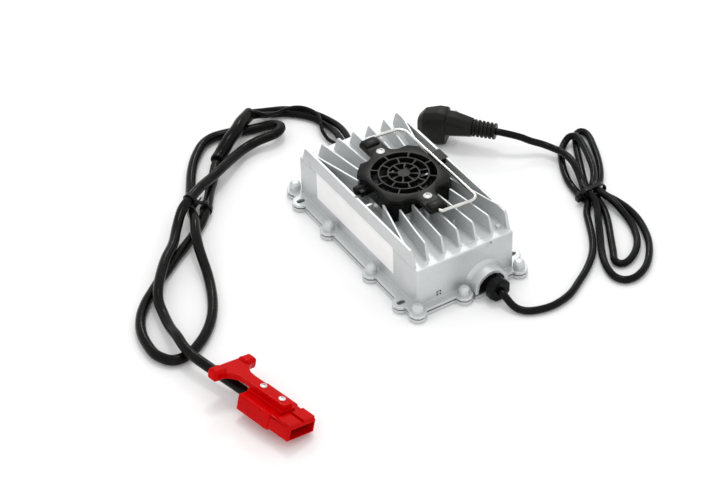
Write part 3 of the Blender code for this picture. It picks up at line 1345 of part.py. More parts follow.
def make_charge_lead(lead_material, sleeve_material, tie_material):
    """The three conductors from the rear gland, the sleeve that gathers them, and its cable ties."""
    exits = [(-NUT_FACE_X + GLAND_POCKET - SEAT, COLLAR_Y + y, GLAND_AXIS_Z + z) for y, z, _ in LEAD_EXITS]
    straight = [(x - GLAND_POCKET - CORD_STRAIGHT, y, z) for x, y, z in exits]
    routes = (THICK_LEAD_1_ROUTE, THICK_LEAD_2_ROUTE, THIN_LEAD_ROUTE)
    names = ("charge_lead_1", "charge_lead_2", "sense_lead")
    for name, start, onward, route, (_, _, radius) in zip(names, exits, straight, routes, LEAD_EXITS):
        SHOP.part(name, cord([onward] + in_metres(route), radius, [start]), lead_material)
    rear = connector_point(-CONNECTOR_LENGTH / 2 - SEAT, 0, CONNECTOR_HEIGHT / 2)
    approach = connector_point(-CONNECTOR_LENGTH / 2 - SLEEVE_APPROACH, 0, CONNECTOR_HEIGHT / 2)
    route = in_metres(SLEEVE_ROUTE) + [approach, rear]
    SHOP.part("charge_sleeve", cord(route, SLEEVE_RADIUS), sleeve_material)
    points = smooth_route(route, CORD_STEP_DIAMETERS * 2 * SLEEVE_RADIUS)
    for number, near in enumerate(in_metres(SLEEVE_TIES_NEAR), 1):
        place, heading = nearest_stretch(points, Vector(near))
        SHOP.part(f"sleeve_tie_{number}", tie(place, heading, SLEEVE_RADIUS + SEAT), tie_material)


def connector_matrix():
    """Return the pose of the connector: its bottom centre, turned and rolled onto its right-hand edge."""
    turn = Matrix.Rotation(math.radians(CONNECTOR_YAW), 4, "Z") @ Matrix.Rotation(-math.radians(CONNECTOR_ROLL), 4, "X")
    corner = turn @ Vector((CONNECTOR_LENGTH / 2, CONNECTOR_WIDTH / 2, 0))
    place = Vector((*CONNECTOR_FRONT_RIGHT, CONNECTOR_FLOOR_GAP)) - corner
    return Matrix.Translation(place) @ turn


def connector_point(x, y, z):
    """Return a point of the connector's own frame in the object's frame."""
    return tuple(connector_matrix() @ Vector((x, y, z)))


def make_connector(housing_material, contact_material, screw_material):
    """The two-pole connector housing with its contacts, T-handle and screws."""
    half_l = CONNECTOR_LENGTH / 2
    half_w = CONNECTOR_WIDTH / 2
    rear = rounded_box((-half_l, -half_w, 0), (half_l - NOSE_LENGTH, half_w, CONNECTOR_HEIGHT), CONNECTOR_EDGE, 1)
    rear = evaluated_copy(rear)
    nose = rounded_box(
        (half_l - NOSE_LENGTH - 2 * CONNECTOR_EDGE, -half_w + NOSE_STEP, NOSE_STEP),
        (half_l, half_w - NOSE_STEP, CONNECTOR_HEIGHT - NOSE_STEP / 2),
        CONNECTOR_EDGE,
        1,
    )
    nose = evaluated_copy(nose)
    rail_top = CONNECTOR_HEIGHT + PAD_HEIGHT
    rail_low = (-half_l + CONNECTOR_EDGE, -RAIL_HALF_WIDTH, CONNECTOR_HEIGHT - FIN_EMBED)
    rail = box(rail_low, (RAIL_FRONT, RAIL_HALF_WIDTH, rail_top))
    pads = [
        box(
            (half_l - PAD_LENGTH, min(side * PAD_GAP, side * (PAD_GAP + PAD_WIDTH)), CONNECTOR_HEIGHT - 2 * NOSE_STEP),
            (half_l - CONNECTOR_EDGE, max(side * PAD_GAP, side * (PAD_GAP + PAD_WIDTH)), rail_top - NOSE_STEP),
        )
        for side in (-1, 1)
    ]
    shell = join(rear, nose, rail, *pads)
    floor = CONNECTOR_HEIGHT / 2
    mouth = centred_box((half_l, 0, floor), (2 * MOUTH_DEPTH, MOUTH_WIDTH, MOUTH_HEIGHT))
    length, width, thickness = CONTACT_SIZE
    slots = [
        centred_box(
            (half_l - MOUTH_DEPTH, side * CONTACT_SPREAD, floor),
            (2 * CONTACT_SLOT, width + 2 * SEAT, thickness + 2 * SEAT),
        )
        for side in (-1, 1)
    ]
    holes = [
        cylinder((x, 0, rail_top - HANDLE_SCREW_SHANK + HANDLE_THICKNESS), HANDLE_SCREW_SHANK, SCREW_RADIUS + SEAT, HOLE_SIDES)
        for x in HANDLE_SCREW_XS
    ]
    shell = cut(shell, mouth, *slots, *holes)
    pose = connector_matrix()
    shell.matrix_world = pose
    SHOP.part("connector_housing", shell, housing_material)
    for number, side in enumerate((-1, 1), 1):
        back = half_l - MOUTH_DEPTH - CONTACT_SLOT + SEAT
        blade_body = rounded_box(
            (back, side * CONTACT_SPREAD - width / 2, floor - thickness / 2),
            (back + length, side * CONTACT_SPREAD + width / 2, floor + thickness / 2),
            CONTACT_EDGE,
            1,
        )
        contact = evaluated_copy(blade_body)
        contact.matrix_world = pose
        SHOP.part(f"connector_contact_{number}", contact, contact_material)
    make_handle(pose, rail_top + SEAT, housing_material, screw_material)


def handle_outline():
    """Return the T-handle's outline: a stem that sweeps by two fillets into the crossbar."""
    front = STEM_FRONT
    near_x = CROSSBAR_X + CROSSBAR_DEPTH / 2
    far_x = CROSSBAR_X - CROSSBAR_DEPTH / 2
    chamfer = CROSSBAR_CHAMFER
    fillet_centre = (near_x + HANDLE_FILLET, STEM_HALF_WIDTH + HANDLE_FILLET)
    upper = [(front - chamfer / 2, STEM_HALF_WIDTH)]
    upper += arc(fillet_centre, HANDLE_FILLET, 270, 180, 5)
    upper += [(near_x, CROSSBAR_HALF - chamfer), (near_x - chamfer, CROSSBAR_HALF)]
    upper += [(far_x + chamfer, CROSSBAR_HALF), (far_x, CROSSBAR_HALF - chamfer)]
    lower = [(x, -y) for x, y in reversed(upper)]
    return upper + lower + [(front, -STEM_HALF_WIDTH + chamfer / 2), (front, STEM_HALF_WIDTH - chamfer / 2)]


def make_handle(pose, bottom, material, screw_material):
    """The T-handle on the connector's rail, with thick crossbar ends, and its two screws."""
    top = bottom + HANDLE_THICKNESS
    handle = plate([handle_outline()], bottom, top)
    blocks = []
    for side in (-1, 1):
        inner = side * (CROSSBAR_HALF - CROSSBAR_BLOCK_LENGTH)
        outer = side * CROSSBAR_HALF
        low = (CROSSBAR_X - CROSSBAR_DEPTH / 2, min(inner, outer), bottom - CROSSBAR_BLOCK_DROP)
        high = (CROSSBAR_X + CROSSBAR_DEPTH / 2, max(inner, outer), top + CROSSBAR_BLOCK_RISE)
        blocks.append(evaluated_copy(rounded_box(low, high, CROSSBAR_BLOCK_EDGE, 1)))
    handle = join(handle, *blocks)
    holes = [
        cylinder((x, 0, bottom - SEAT), HANDLE_THICKNESS + 2 * SEAT, SCREW_RADIUS + SEAT, HOLE_SIDES)
        for x in HANDLE_SCREW_XS
    ]
    handle = cut(handle, *holes)
    handle.matrix_world = pose
    SHOP.part("connector_handle", handle, material)
    for number, x in enumerate(HANDLE_SCREW_XS, 1):
        blank = screw_body(
            HANDLE_SCREW_HEAD_RADIUS, HANDLE_SCREW_HEAD_HEIGHT, SCREW_RADIUS, HANDLE_SCREW_SHANK - 2 * SEAT, False, HOLE_SIDES
        )
        blank.matrix_world = pose @ Matrix.Translation((x, 0, top + SEAT))
        SHOP.part(f"handle_screw_{number}", blank, screw_material)


def plug_frame():
    """Return the plug's pose: X along the cord neck, Y towards its pins, Z up, origin on the floor."""
    return Matrix.Translation((*PLUG_CENTRE, 0)) @ Matrix.Rotation(math.radians(PLUG_HEADING), 4, "Z")


def make_plug(material, pin_material):
    """The angled plug with its ribbed strain relief, and its two pins."""
    depth = PLUG_THICKNESS
    head = cylinder((0, 0, PLUG_RADIUS), depth, PLUG_RADIUS, MEDIUM_SIDES, "Y")
    bevel(head, PLUG_BEVEL, 1, RIM_LIMIT)
    head = evaluated_copy(head)
    middle_y = depth / 2

    def build(shape):
        wide = (0, depth / 2 - PLUG_BEVEL, PLUG_RADIUS - PLUG_SHOULDER_INSET, PLUG_RADIUS)
        narrow = (RELIEF_START, PLUG_NECK_RADIUS, PLUG_NECK_RADIUS, PLUG_AXIS_Z)
        for x, half_y, half_z, z in (wide, narrow):
            for i in range(SMALL_SIDES):
                angle = 2 * math.pi * (i + 0.5) / SMALL_SIDES
                shape.verts.new((x, middle_y + half_y * math.cos(angle), z + half_z * math.sin(angle)))
        bmesh.ops.convex_hull(shape, input=shape.verts)

    shoulder = mesh_from(build)
    profile = [(0, RELIEF_LENGTH)]
    step = RELIEF_LENGTH / RELIEF_RIBS
    for rib in range(RELIEF_RIBS):
        top = RELIEF_LENGTH - rib * step
        radius = RELIEF_RADIUS - RELIEF_TAPER * (1 - rib / RELIEF_RIBS)
        profile += [(radius, top), (radius, top - step * 0.55)]
        profile += [(radius - RELIEF_GROOVE, top - step * 0.6), (radius - RELIEF_GROOVE, top - step * 0.95)]
    profile += [(RELIEF_RADIUS, -RELIEF_EMBED), (0, -RELIEF_EMBED)]
    relief = turned(profile, SMALL_SIDES, (RELIEF_START, middle_y, PLUG_AXIS_Z), "X")
    sockets = [
        cylinder((side * PIN_SPREAD, depth - PIN_SOCKET, PLUG_RADIUS), 2 * PIN_SOCKET, PIN_RADIUS + SEAT, SMALL_SIDES, "Y")
        for side in (-1, 1)
    ]
    pocket_base = (RELIEF_START + RELIEF_LENGTH - GLAND_POCKET, middle_y, PLUG_AXIS_Z)
    pocket = cylinder(pocket_base, 2 * GLAND_POCKET, MAINS_RADIUS + SEAT, SMALL_SIDES, "X")
    body = cut(join(head, shoulder, relief), pocket, *sockets)
    body.matrix_world = plug_frame()
    SHOP.part("plug_body", body, material)
    for number, side in enumerate((-1, 1), 1):
        start = depth - PIN_SOCKET + SEAT
        pin = cylinder((side * PIN_SPREAD, start, PLUG_RADIUS), PIN_LENGTH + PIN_SOCKET, PIN_RADIUS, SMALL_SIDES, "Y")
        bevel(pin, PIN_EDGE, 1, RIM_LIMIT)
        pin = evaluated_copy(pin)
        pin.matrix_world = plug_frame()
        SHOP.part(f"plug_pin_{number}", pin, pin_material)


def closed_outline(route):
    """Return a smooth closed outline through points given in millimetres."""
    knots = [Vector((x * MM, y * MM)) for x, y in route]
    count = len(knots)
    outline = []
    for i in range(count):
        before, start, end, after = (knots[(i + shift) % count] for shift in (-1, 0, 1, 2))
        outline.append(tuple(start))
        outline.append(tuple((9 * (start + end) - before - after) / 16))
    return outline


def widened(outline, distance):
    """Return an outline moved outwards by a distance."""
    moved = []
    for i, (x, y) in enumerate(outline):
        along = Vector(outline[(i + 1) % len(outline)]) - Vector(outline[i - 1])
        moved.append((x + distance * along.y / along.length, y - distance * along.x / along.length))
    return moved


def make_mains_lead(cord_material, tie_material):
    """The mains lead: the stretch from the gland, the tied hank, and the tail to the plug."""
    start = (NUT_FACE_X - GLAND_POCKET + SEAT, COLLAR_Y, GLAND_AXIS_Z)
    onward = (NUT_FACE_X + CORD_STRAIGHT, COLLAR_Y, GLAND_AXIS_Z)
    SHOP.part("mains_lead", cord([onward] + in_metres(MAINS_ROUTE), MAINS_RADIUS, [start]), cord_material)
    relief = RELIEF_START + RELIEF_LENGTH
    relief_end = plug_frame() @ Vector((relief - GLAND_POCKET + SEAT, PLUG_THICKNESS / 2, PLUG_AXIS_Z))
    relief_way = plug_frame() @ Vector((relief + CORD_STRAIGHT, PLUG_THICKNESS / 2, PLUG_AXIS_Z))
    tail = cord(in_metres(TAIL_ROUTE) + [relief_way], MAINS_RADIUS, (), [relief_end])
    SHOP.part("mains_tail", tail, cord_material)
    outline = closed_outline(HANK_OUTLINE)
    SHOP.part("mains_hank", plate([outline], HANK_BOTTOM, HANK_TOP), cord_material)
    inner = plate([widened(outline, SEAT)], HANK_BOTTOM - SEAT, HANK_TOP + SEAT)
    reach = SEAT + TIE_THICKNESS
    band = plate([widened(outline, reach)], HANK_BOTTOM - reach, HANK_TOP + reach)
    span = max(y for _, y in outline)
    window = centred_box((HANK_TIE_X * MM, 0, HANK_TOP / 2), (TIE_WIDTH, 3 * span, 3 * HANK_TOP))
    SHOP.part("hank_tie", cut(boolean(band, [window], "INTERSECT"), inner), tie_material)


def main():
    """Build the charger."""
    global SHOP
    clear_scene()
    SHOP = Workshop()
    cast = new_material("cast_aluminium", (0.62, 0.64, 0.64), 0.45, 0.55)
    rubber = new_material("gasket_rubber", (0.05, 0.05, 0.05), 0.8)
    zinc = new_material("zinc_steel", (0.72, 0.72, 0.7), 0.3, 1.0)
    black = new_material("black_plastic", (0.03, 0.03, 0.03), 0.5)
    cover_black = new_material("cover_plastic", (0.035, 0.033, 0.032), 0.4)
    gland_black = new_material("gland_plastic", (0.02, 0.02, 0.02), 0.45)
    rotor_black = new_material("rotor_plastic", (0.015, 0.015, 0.015), 0.35)
    wire = new_material("bail_steel", (0.75, 0.74, 0.71), 0.25, 1.0)
    laminate = new_material("board_laminate", (0.03, 0.2, 0.09), 0.5)
    ferrite = new_material("core_ferrite", (0.07, 0.07, 0.075), 0.6)
    copper = new_material("winding_copper", (0.6, 0.28, 0.12), 0.35, 0.8)
    blue = new_material("capacitor_sleeve", (0.05, 0.08, 0.2), 0.4)
    glass = new_material("fuse_ceramic", (0.8, 0.78, 0.72), 0.3)
    jacket = new_material("lead_jacket", (0.025, 0.025, 0.025), 0.5)
    braid = new_material("sleeve_jacket", (0.03, 0.03, 0.03), 0.55)
    red = new_material("connector_red", (0.6, 0.0, 0.0), 0.2)
    brass = new_material("contact_brass", (0.78, 0.6, 0.3), 0.3, 1.0)
    nickel = new_material("pin_nickel", (0.75, 0.73, 0.7), 0.25, 1.0)
    make_housing(cast)
    make_base(cast, rubber)
    make_base_screws(zinc)
    make_glands(gland_black)
    make_fan_frame(black)
    make_fan_rotor(rotor_black)
    make_fan_cover(cover_black)
    make_cover_screws(zinc)
    make_bail(wire)
    make_board(laminate, zinc)
    make_transformer(ferrite, copper)
    make_components(black, blue, ferrite, copper, zinc, glass)
    make_charge_lead(jacket, braid, black)
    make_connector(red, brass, zinc)
    make_plug(black, nickel)
    make_mains_lead(jacket, black)


main()
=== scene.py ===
"""Looks of a sealed, fan-cooled battery charger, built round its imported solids.

Every length is in metres, in the frame of the solids: +X towards the mains gland, +Y towards
the side where the bail lies, +Z up, and the floor at zero. Each sub-assembly is a class that
models its pieces, dresses them and hangs them on their body.
"""

import json
import logging
import math
from dataclasses import dataclass
from enum import Enum
from typing import Iterable, Sequence

import bpy
from mathutils import Matrix, Vector

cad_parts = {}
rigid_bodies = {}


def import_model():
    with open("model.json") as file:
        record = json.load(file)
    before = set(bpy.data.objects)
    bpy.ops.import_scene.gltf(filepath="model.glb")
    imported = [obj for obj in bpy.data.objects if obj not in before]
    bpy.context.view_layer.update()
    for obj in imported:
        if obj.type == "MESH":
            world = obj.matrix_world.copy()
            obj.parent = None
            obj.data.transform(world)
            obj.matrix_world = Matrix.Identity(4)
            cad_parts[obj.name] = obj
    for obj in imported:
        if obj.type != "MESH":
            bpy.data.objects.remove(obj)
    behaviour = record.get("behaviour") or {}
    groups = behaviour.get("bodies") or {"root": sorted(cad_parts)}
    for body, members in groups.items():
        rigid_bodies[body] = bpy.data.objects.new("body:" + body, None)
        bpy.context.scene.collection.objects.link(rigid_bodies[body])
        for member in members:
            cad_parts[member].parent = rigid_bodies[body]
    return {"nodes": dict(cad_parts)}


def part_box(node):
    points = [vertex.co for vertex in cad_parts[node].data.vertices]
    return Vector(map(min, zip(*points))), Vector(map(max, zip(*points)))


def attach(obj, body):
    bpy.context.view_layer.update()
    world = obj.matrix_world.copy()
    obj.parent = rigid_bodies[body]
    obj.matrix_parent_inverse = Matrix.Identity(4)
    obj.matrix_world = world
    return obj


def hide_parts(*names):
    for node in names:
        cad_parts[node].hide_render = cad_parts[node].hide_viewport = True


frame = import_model()

LOG = logging.getLogger("charger")
MM = 0.001

Point = tuple[float, float, float]
Colour = tuple[float, float, float]


class Body(Enum):
    """The bodies of the solids that a piece can ride on."""

    CHARGER = "charger"
    ROTOR = "fan_rotor"
    BAIL = "bail"


class Grain(Enum):
    """Kinds of surface detail."""

    CAST = "cast"
    MOULDED = "moulded"
    BRUSHED = "brushed"
    JACKET = "jacket"
    WOUND = "wound"
    PRINTED = "printed"


# Cord sizes
THICK_LEAD_RADIUS = 3.25 * MM
THIN_LEAD_RADIUS = 1.85 * MM
SLEEVE_RADIUS = 4.85 * MM
MAINS_RADIUS = 3.5 * MM

# Where the leads leave the rear gland, and where the mains lead leaves the front one
EXIT_X = 125.6 * MM
ONWARD_X = 132.6 * MM
LEAD_EXITS = ((23.1, 12.6), (15.9, 12.6), (19.5, 7.2))

# Routes of the cords, in millimetres
THICK_LEAD_1_ROUTE = (
    (-150, 28, 11), (-167.6, 30.6, 8), (-186.7, 29.4, 4.6), (-200.4, 24.9, 3.8), (-210.8, 18.5, 3.8),
    (-219.2, 10.7, 3.8), (-226.5, 1.8, 3.8), (-230, -8.4, 4.6), (-230.5, -21, 8), (-230.4, -32.6, 11.4),
    (-228.3, -41, 13.2),
)
THICK_LEAD_2_ROUTE = (
    (-150, 20.5, 10), (-166, 23.5, 6.5), (-184, 22.3, 4.2), (-196.5, 19, 3.8), (-206, 13, 3.8),
    (-214, 5.5, 3.8), (-219.7, -1.2, 3.8), (-222.8, -9.5, 4.6), (-223.4, -21, 8), (-223, -30, 11.4),
    (-222.2, -36.9, 13.2),
)
THIN_LEAD_ROUTE = (
    (-150, 15, 4.5), (-160, 14, 3.5), (-172, 15, 6), (-181, 18.5, 9.8), (-190, 21.5, 10.2),
    (-200, 20.5, 10.2), (-210, 15.8, 10), (-216, 8, 9.8), (-217.5, -1.5, 9.8), (-217, -11, 10),
    (-217, -21.6, 12.5), (-219.5, -30, 16.8), (-225.6, -36.8, 18.6),
)
SLEEVE_ROUTE = (
    (-224, -40, 13.6), (-216, -51, 15.6), (-207, -62, 15.6), (-201, -73, 14), (-195, -83, 10),
    (-189, -93, 6), (-178, -103, 5.2), (-164, -113, 5.4), (-150, -124, 6), (-133, -136, 7),
    (-118, -149, 6), (-106, -163, 5.2), (-94, -180, 5.2), (-83, -197, 5.2), (-72, -212, 5.2),
    (-63, -225, 5.2), (-52, -239, 5.2), (-42, -251, 5.2), (-30, -262, 5.2), (-17, -270, 5.2),
    (-3, -275, 5.2), (11, -277, 5.2), (23, -277, 5.2), (33, -273, 5.2), (39, -268, 5.2),
    (41, -260, 5.2), (39, -249, 5.2), (33, -238, 5.2), (25, -227, 5.2), (14, -216, 5.2), (2, -207, 5.2),
    (-12, -199, 5.2), (-30, -191, 5.4), (-47, -185, 7), (-62, -181, 10), (-76, -177, 13),
    (-92, -171, 15.6), (-111, -162, 15.6), (-129, -156, 10.4), (-140, -150, 7), (-154, -143, 6),
    (-168, -135, 5.2), (-183, -126, 5.2), (-197, -116, 5.2), (-209, -105, 5.2), (-219, -93, 5.2),
    (-223, -81, 5.2), (-222, -70, 5.2), (-219, -58, 5.2), (-215, -47, 5.2), (-212, -35, 5.2),
    (-208, -25, 6.5), (-201, -19, 9), (-192, -20, 11.5), (-186.5, -28, 12), (-186.5, -38, 11.5),
    (-188, -49, 10), (-186, -64, 9), (-175, -85, 12), (-163, -104, 15.4), (-154, -120, 17),
    (-145, -136, 19.5), (-134.5, -152, 21), (-125, -166.5, 20), (-110, -181, 15), (-92, -195, 14),
    (-76, -211, 15.4), (-61, -224, 15.4), (-45, -236, 14), (-32, -243, 11), (-16, -247, 9),
    (4, -251, 10), (24, -254, 15), (40, -256, 16), (54, -255, 15.4),
)
MAINS_LEAD_ROUTE = (
    (125.6, 19.5, 11.2), (132.3, 19.5, 11.2), (146, 22, 5), (155, 28, 3.6), (161, 40, 3.6),
    (163, 55, 3.6), (159, 74, 3.6), (149, 92, 3.6), (138, 109, 3.6), (124, 125, 3.6), (108, 137, 3.6),
    (90, 147, 3.6), (73, 156, 3.6),
)
LOOP_FAR_LEFT = (
    (38, 167, 3.6), (24, 170, 3.6), (9, 176, 3.6), (-4, 183, 3.6), (-16, 191, 3.6), (-24, 200, 4.2),
    (-25.5, 207.5, 8.8), (-19, 211.5, 11), (-4, 208.5, 11), (14, 202, 11), (30, 195, 11),
    (42, 187, 10.5),
)
LOOP_NEAR_INNER = (
    (74, 183, 8.5), (89, 183.5, 6), (106, 181.6, 4), (121.5, 176.3, 3.6), (134, 169, 3.6),
    (144, 159, 3.6), (150.5, 147.5, 3.6), (151, 139, 3.6), (144.5, 136, 3.6), (131, 143.5, 3.6),
    (113, 154, 3.6), (94, 165, 3.6), (77, 172.5, 3.6),
)
LOOP_FAR_RIGHT = (
    (38, 180, 3.6), (24, 187, 3.6), (7, 196, 3.6), (-12, 206.5, 3.6), (-25, 214.5, 3.6),
    (-31.5, 221.5, 3.6), (-31, 227, 3.6), (-23, 228, 3.6), (-6, 222, 3.6), (14, 213, 3.6),
    (31, 203, 3.6), (43, 193, 3.6),
)
LOOP_NEAR_OUTER = (
    (74, 189.5, 3.6), (89, 191.5, 3.6), (106, 190.4, 3.6), (122, 186, 3.6), (138, 179, 3.6),
    (153, 168.5, 3.6), (166, 154.5, 3.6), (172.5, 139, 3.6), (170.5, 127.5, 3.6), (161, 122.5, 3.6),
    (146, 124.8, 3.6), (127.5, 133.4, 3.6), (107, 146.3, 5.2), (91, 156, 7.5), (76, 165.5, 9),
)
TAIL_ROUTE = (
    (38, 175, 10.5), (24, 180, 12.5), (9, 184, 13), (-6, 184.5, 12), (-18, 181.5, 11), (-27.5, 176, 12),
    (-34.5, 167.5, 15), (-40.5, 158.5, 20),
)

# Places of the five strands inside the hank's tie, as (y, z), and the tie's two sides
TIE_NEAR_X = 62
TIE_FAR_X = 50
STRANDS = ((165, 4.9), (170, 10.5), (175, 4.9), (180, 10.5), (185, 4.9))


@dataclass(frozen=True)
class CordFacts:
    """What a free cord is: its real length and width, and how it behaves."""

    length: float
    radius: float
    far_end: str
    stiffness: str = "medium"
    lay: str = "loose"


class Socket:
    """An output of a shader node, with arithmetic that adds Math nodes."""

    def __init__(self, tree: bpy.types.NodeTree, output: bpy.types.NodeSocket) -> None:
        self.tree = tree
        self.output = output

    def _math(self, operation: str, *operands: "Socket | float") -> "Socket":
        """Return the result of a Math node.

        Args:
            operation: The node's operation.
            operands: Its inputs, in order.
        """
        node = self.tree.nodes.new("ShaderNodeMath")
        node.operation = operation
        for slot, operand in zip(node.inputs, operands):
            if isinstance(operand, Socket):
                self.tree.links.new(operand.output, slot)
            else:
                slot.default_value = operand
        return Socket(self.tree, node.outputs[0])

    def __add__(self, other: "Socket | float") -> "Socket":
        return self._math("ADD", self, other)

    def __radd__(self, other: float) -> "Socket":
        return self._math("ADD", other, self)

    def __sub__(self, other: "Socket | float") -> "Socket":
        return self._math("SUBTRACT", self, other)

    def __rsub__(self, other: float) -> "Socket":
        return self._math("SUBTRACT", other, self)

    def __mul__(self, other: "Socket | float") -> "Socket":
        return self._math("MULTIPLY", self, other)

    def __truediv__(self, other: "Socket | float") -> "Socket":
        return self._math("DIVIDE", self, other)

    def clamped(self) -> "Socket":
        """Return the value held between zero and one."""
        lifted = self._math("MAXIMUM", self, 0.0)
        return lifted._math("MINIMUM", lifted, 1.0)

    def ramp(self, low: float, high: float) -> "Socket":
        """Return how far the value lies from low to high, held between zero and one."""
        return ((self - low) / (high - low)).clamped()


class Shading:
    """A material under construction: its nodes, and the Principled shader at their end."""

    def __init__(self, name: str) -> None:
        self.material = bpy.data.materials.new(name)
        self.material.use_nodes = True
        self.tree = self.material.node_tree
        self.shader = self.tree.nodes["Principled BSDF"]
        self.coordinates = self.node("ShaderNodeTexCoord", {}, {}).outputs["Object"]

    def node(self, kind: str, settings: dict, inputs: dict) -> bpy.types.Node:
        """Add any node.

        Args:
            kind: The node's type name.
            settings: Values of its attributes.
            inputs: Values or sockets for its inputs, by name or number.

        Returns:
            The node.
        """
        made = self.tree.nodes.new(kind)
        for key, value in settings.items():
            setattr(made, key, value)
        for key, value in inputs.items():
            if isinstance(value, Socket):
                self.tree.links.new(value.output, made.inputs[key])
            elif isinstance(value, bpy.types.NodeSocket):
                self.tree.links.new(value, made.inputs[key])
            else:
                made.inputs[key].default_value = value
        return made

    def noise(self, scale: float, detail: float = 3.0, stretch: Point = (1, 1, 1)) -> Socket:
        """Return a noise from zero to one.

        Args:
            scale: Grains in a metre.
            detail: Number of finer layers.
            stretch: Factors on the three axes.
        """
        place = self.node("ShaderNodeMapping", {}, {"Vector": self.coordinates, "Scale": stretch})
        noise = self.node(
            "ShaderNodeTexNoise", {}, {"Vector": place.outputs[0], "Scale": scale, "Detail": detail}
        )
        return Socket(self.tree, noise.outputs[0])

    def cells(self, scale: float) -> Socket:
        """Return the distance to the nearest of many scattered points.

        Args:
            scale: Cells in a metre.
        """
        cells = self.node("ShaderNodeTexVoronoi", {}, {"Vector": self.coordinates, "Scale": scale})
        return Socket(self.tree, cells.outputs[0])

    def bands(self, scale: float, direction: str) -> Socket:
        """Return even bands from zero to one.

        Args:
            scale: Bands in a metre, before the wave's own factor.
            direction: The axis across the bands.
        """
        wave = self.node(
            "ShaderNodeTexWave",
            {"wave_type": "BANDS", "bands_direction": direction},
            {"Vector": self.coordinates, "Scale": scale},
        )
        return Socket(self.tree, wave.outputs["Fac"])

    def near(self, place: Point, radius: float) -> Socket:
        """Return one at a place, falling to zero at a radius round it.

        Args:
            place: The middle, in metres.
            radius: Where it has faded out.
        """
        gap = self.node(
            "ShaderNodeVectorMath", {"operation": "DISTANCE"}, {0: self.coordinates, 1: place}
        )
        return Socket(self.tree, gap.outputs["Value"]).ramp(radius, radius * 0.4)

    def blend(self, factor: Socket, first: "Colour | Socket", second: "Colour | Socket") -> Socket:
        """Return the mix of two colours.

        Args:
            factor: Zero for the first colour, one for the second.
            first: A colour or a socket.
            second: A colour or a socket.
        """
        mix = self.node("ShaderNodeMix", {"data_type": "RGBA"}, {0: factor})
        for slot, value in ((mix.inputs[6], first), (mix.inputs[7], second)):
            if isinstance(value, Socket):
                self.tree.links.new(value.output, slot)
            else:
                slot.default_value = (*value, 1)
        return Socket(self.tree, mix.outputs[2])

    def feed(self, name: str, value: "Socket | float") -> None:
        """Give the Principled shader a value or a socket.

        Args:
            name: The shader's input.
            value: What it takes.
        """
        if isinstance(value, Socket):
            self.tree.links.new(value.output, self.shader.inputs[name])
        else:
            self.shader.inputs[name].default_value = value

    def relief(self, height: Socket, distance: float) -> None:
        """Make the surface uneven.

        Args:
            height: Height from zero to one.
            distance: Real height of one, in metres.
        """
        bump = self.node("ShaderNodeBump", {}, {"Height": height, "Distance": distance, "Strength": 1.0})
        self.tree.links.new(bump.outputs[0], self.shader.inputs["Normal"])


@dataclass(frozen=True)
class Finish:
    """A surface finish: colour, gloss and the detail that the real material shows."""

    name: str
    slot: str
    colour: Colour
    roughness: float
    grain: Grain
    metallic: float = 0.0
    specular: float = 0.5
    coat: float = 0.0
    scale: float = 900.0
    depth: float = 0.05 * MM
    spread: float = 0.08
    soil: float = 0.0
    soil_colour: Colour = (0.2, 0.19, 0.17)
    blemishes: tuple[tuple[Point, float], ...] = ()

    BROAD_GLOSS = 0.16
    FINE_GLOSS = 0.12
    SOIL_GLOSS = 0.25
    # Painted shade: how dark the pits of the cast grain are drawn
    PIT_SHADE_TONE = 0.86
    # Painted shade: how dark the grooves between winding turns are drawn
    GAP_SHADE_TONE = 0.3
    SCRAPE_COVER = 0.8
    SCRAPE_COLOUR = (0.07, 0.07, 0.07)

    def shade(self) -> bpy.types.Material:
        """Build the finish.

        Returns:
            The material.
        """
        board = Shading(self.name)
        broad = board.noise(45.0, 4.0)
        fine = board.noise(self.scale, 2.0)
        dark = tuple(value * (1 - self.spread) for value in self.colour)
        light = tuple(min(1.0, value * (1 + self.spread)) for value in self.colour)
        colour = board.blend(broad.ramp(0.3, 0.7), dark, light)
        gloss = self.roughness + (broad - 0.5) * self.BROAD_GLOSS + (fine - 0.5) * self.FINE_GLOSS
        height = fine
        if self.grain is Grain.CAST:
            pits = board.cells(self.scale * 0.45).ramp(0.12, 0.3)
            height = fine * 0.6 + pits * 0.4
            # painted shade in the pits of the cast grain
            colour = board.blend(1 - pits, colour, tuple(value * self.PIT_SHADE_TONE for value in self.colour))
        elif self.grain is Grain.BRUSHED:
            strokes = board.noise(self.scale, 2.0, (0.12, 1, 1))
            height = strokes
            gloss = gloss + (strokes - 0.5) * self.FINE_GLOSS
        elif self.grain is Grain.JACKET:
            ripple = board.noise(90.0, 1.0)
            height = fine * 0.35 + ripple * 0.65
        elif self.grain is Grain.WOUND:
            turns = board.bands(320.0, "Z")
            height = turns
            # painted shade in the grooves between the turns
            gap = tuple(value * self.GAP_SHADE_TONE for value in self.colour)
            colour = board.blend(turns.ramp(0.0, 0.25), gap, colour)
        elif self.grain is Grain.PRINTED:
            weave = board.bands(500.0, "X") * 0.5 + board.bands(500.0, "Y") * 0.5
            height = weave * 0.5 + fine * 0.5
        if self.soil > 0:
            patches = board.noise(120.0, 5.0)
            specks = board.noise(1500.0, 2.0)
            amount = patches.ramp(0.52, 0.8) * specks.ramp(0.4, 0.75) * self.soil
            colour = board.blend(amount, colour, self.soil_colour)
            gloss = gloss + amount * self.SOIL_GLOSS
        for place, radius in self.blemishes:
            scrape = board.near(place, radius) * board.noise(800.0, 2.0, (1, 0.25, 1)).ramp(0.5, 0.6)
            colour = board.blend(scrape * self.SCRAPE_COVER, colour, self.SCRAPE_COLOUR)
        board.feed("Base Color", colour)
        board.feed("Roughness", gloss.clamped())
        board.feed("Metallic", self.metallic)
        board.feed("Specular IOR Level", self.specular)
        board.feed("Coat Weight", self.coat)
        board.relief(height, self.depth)
        return board.material


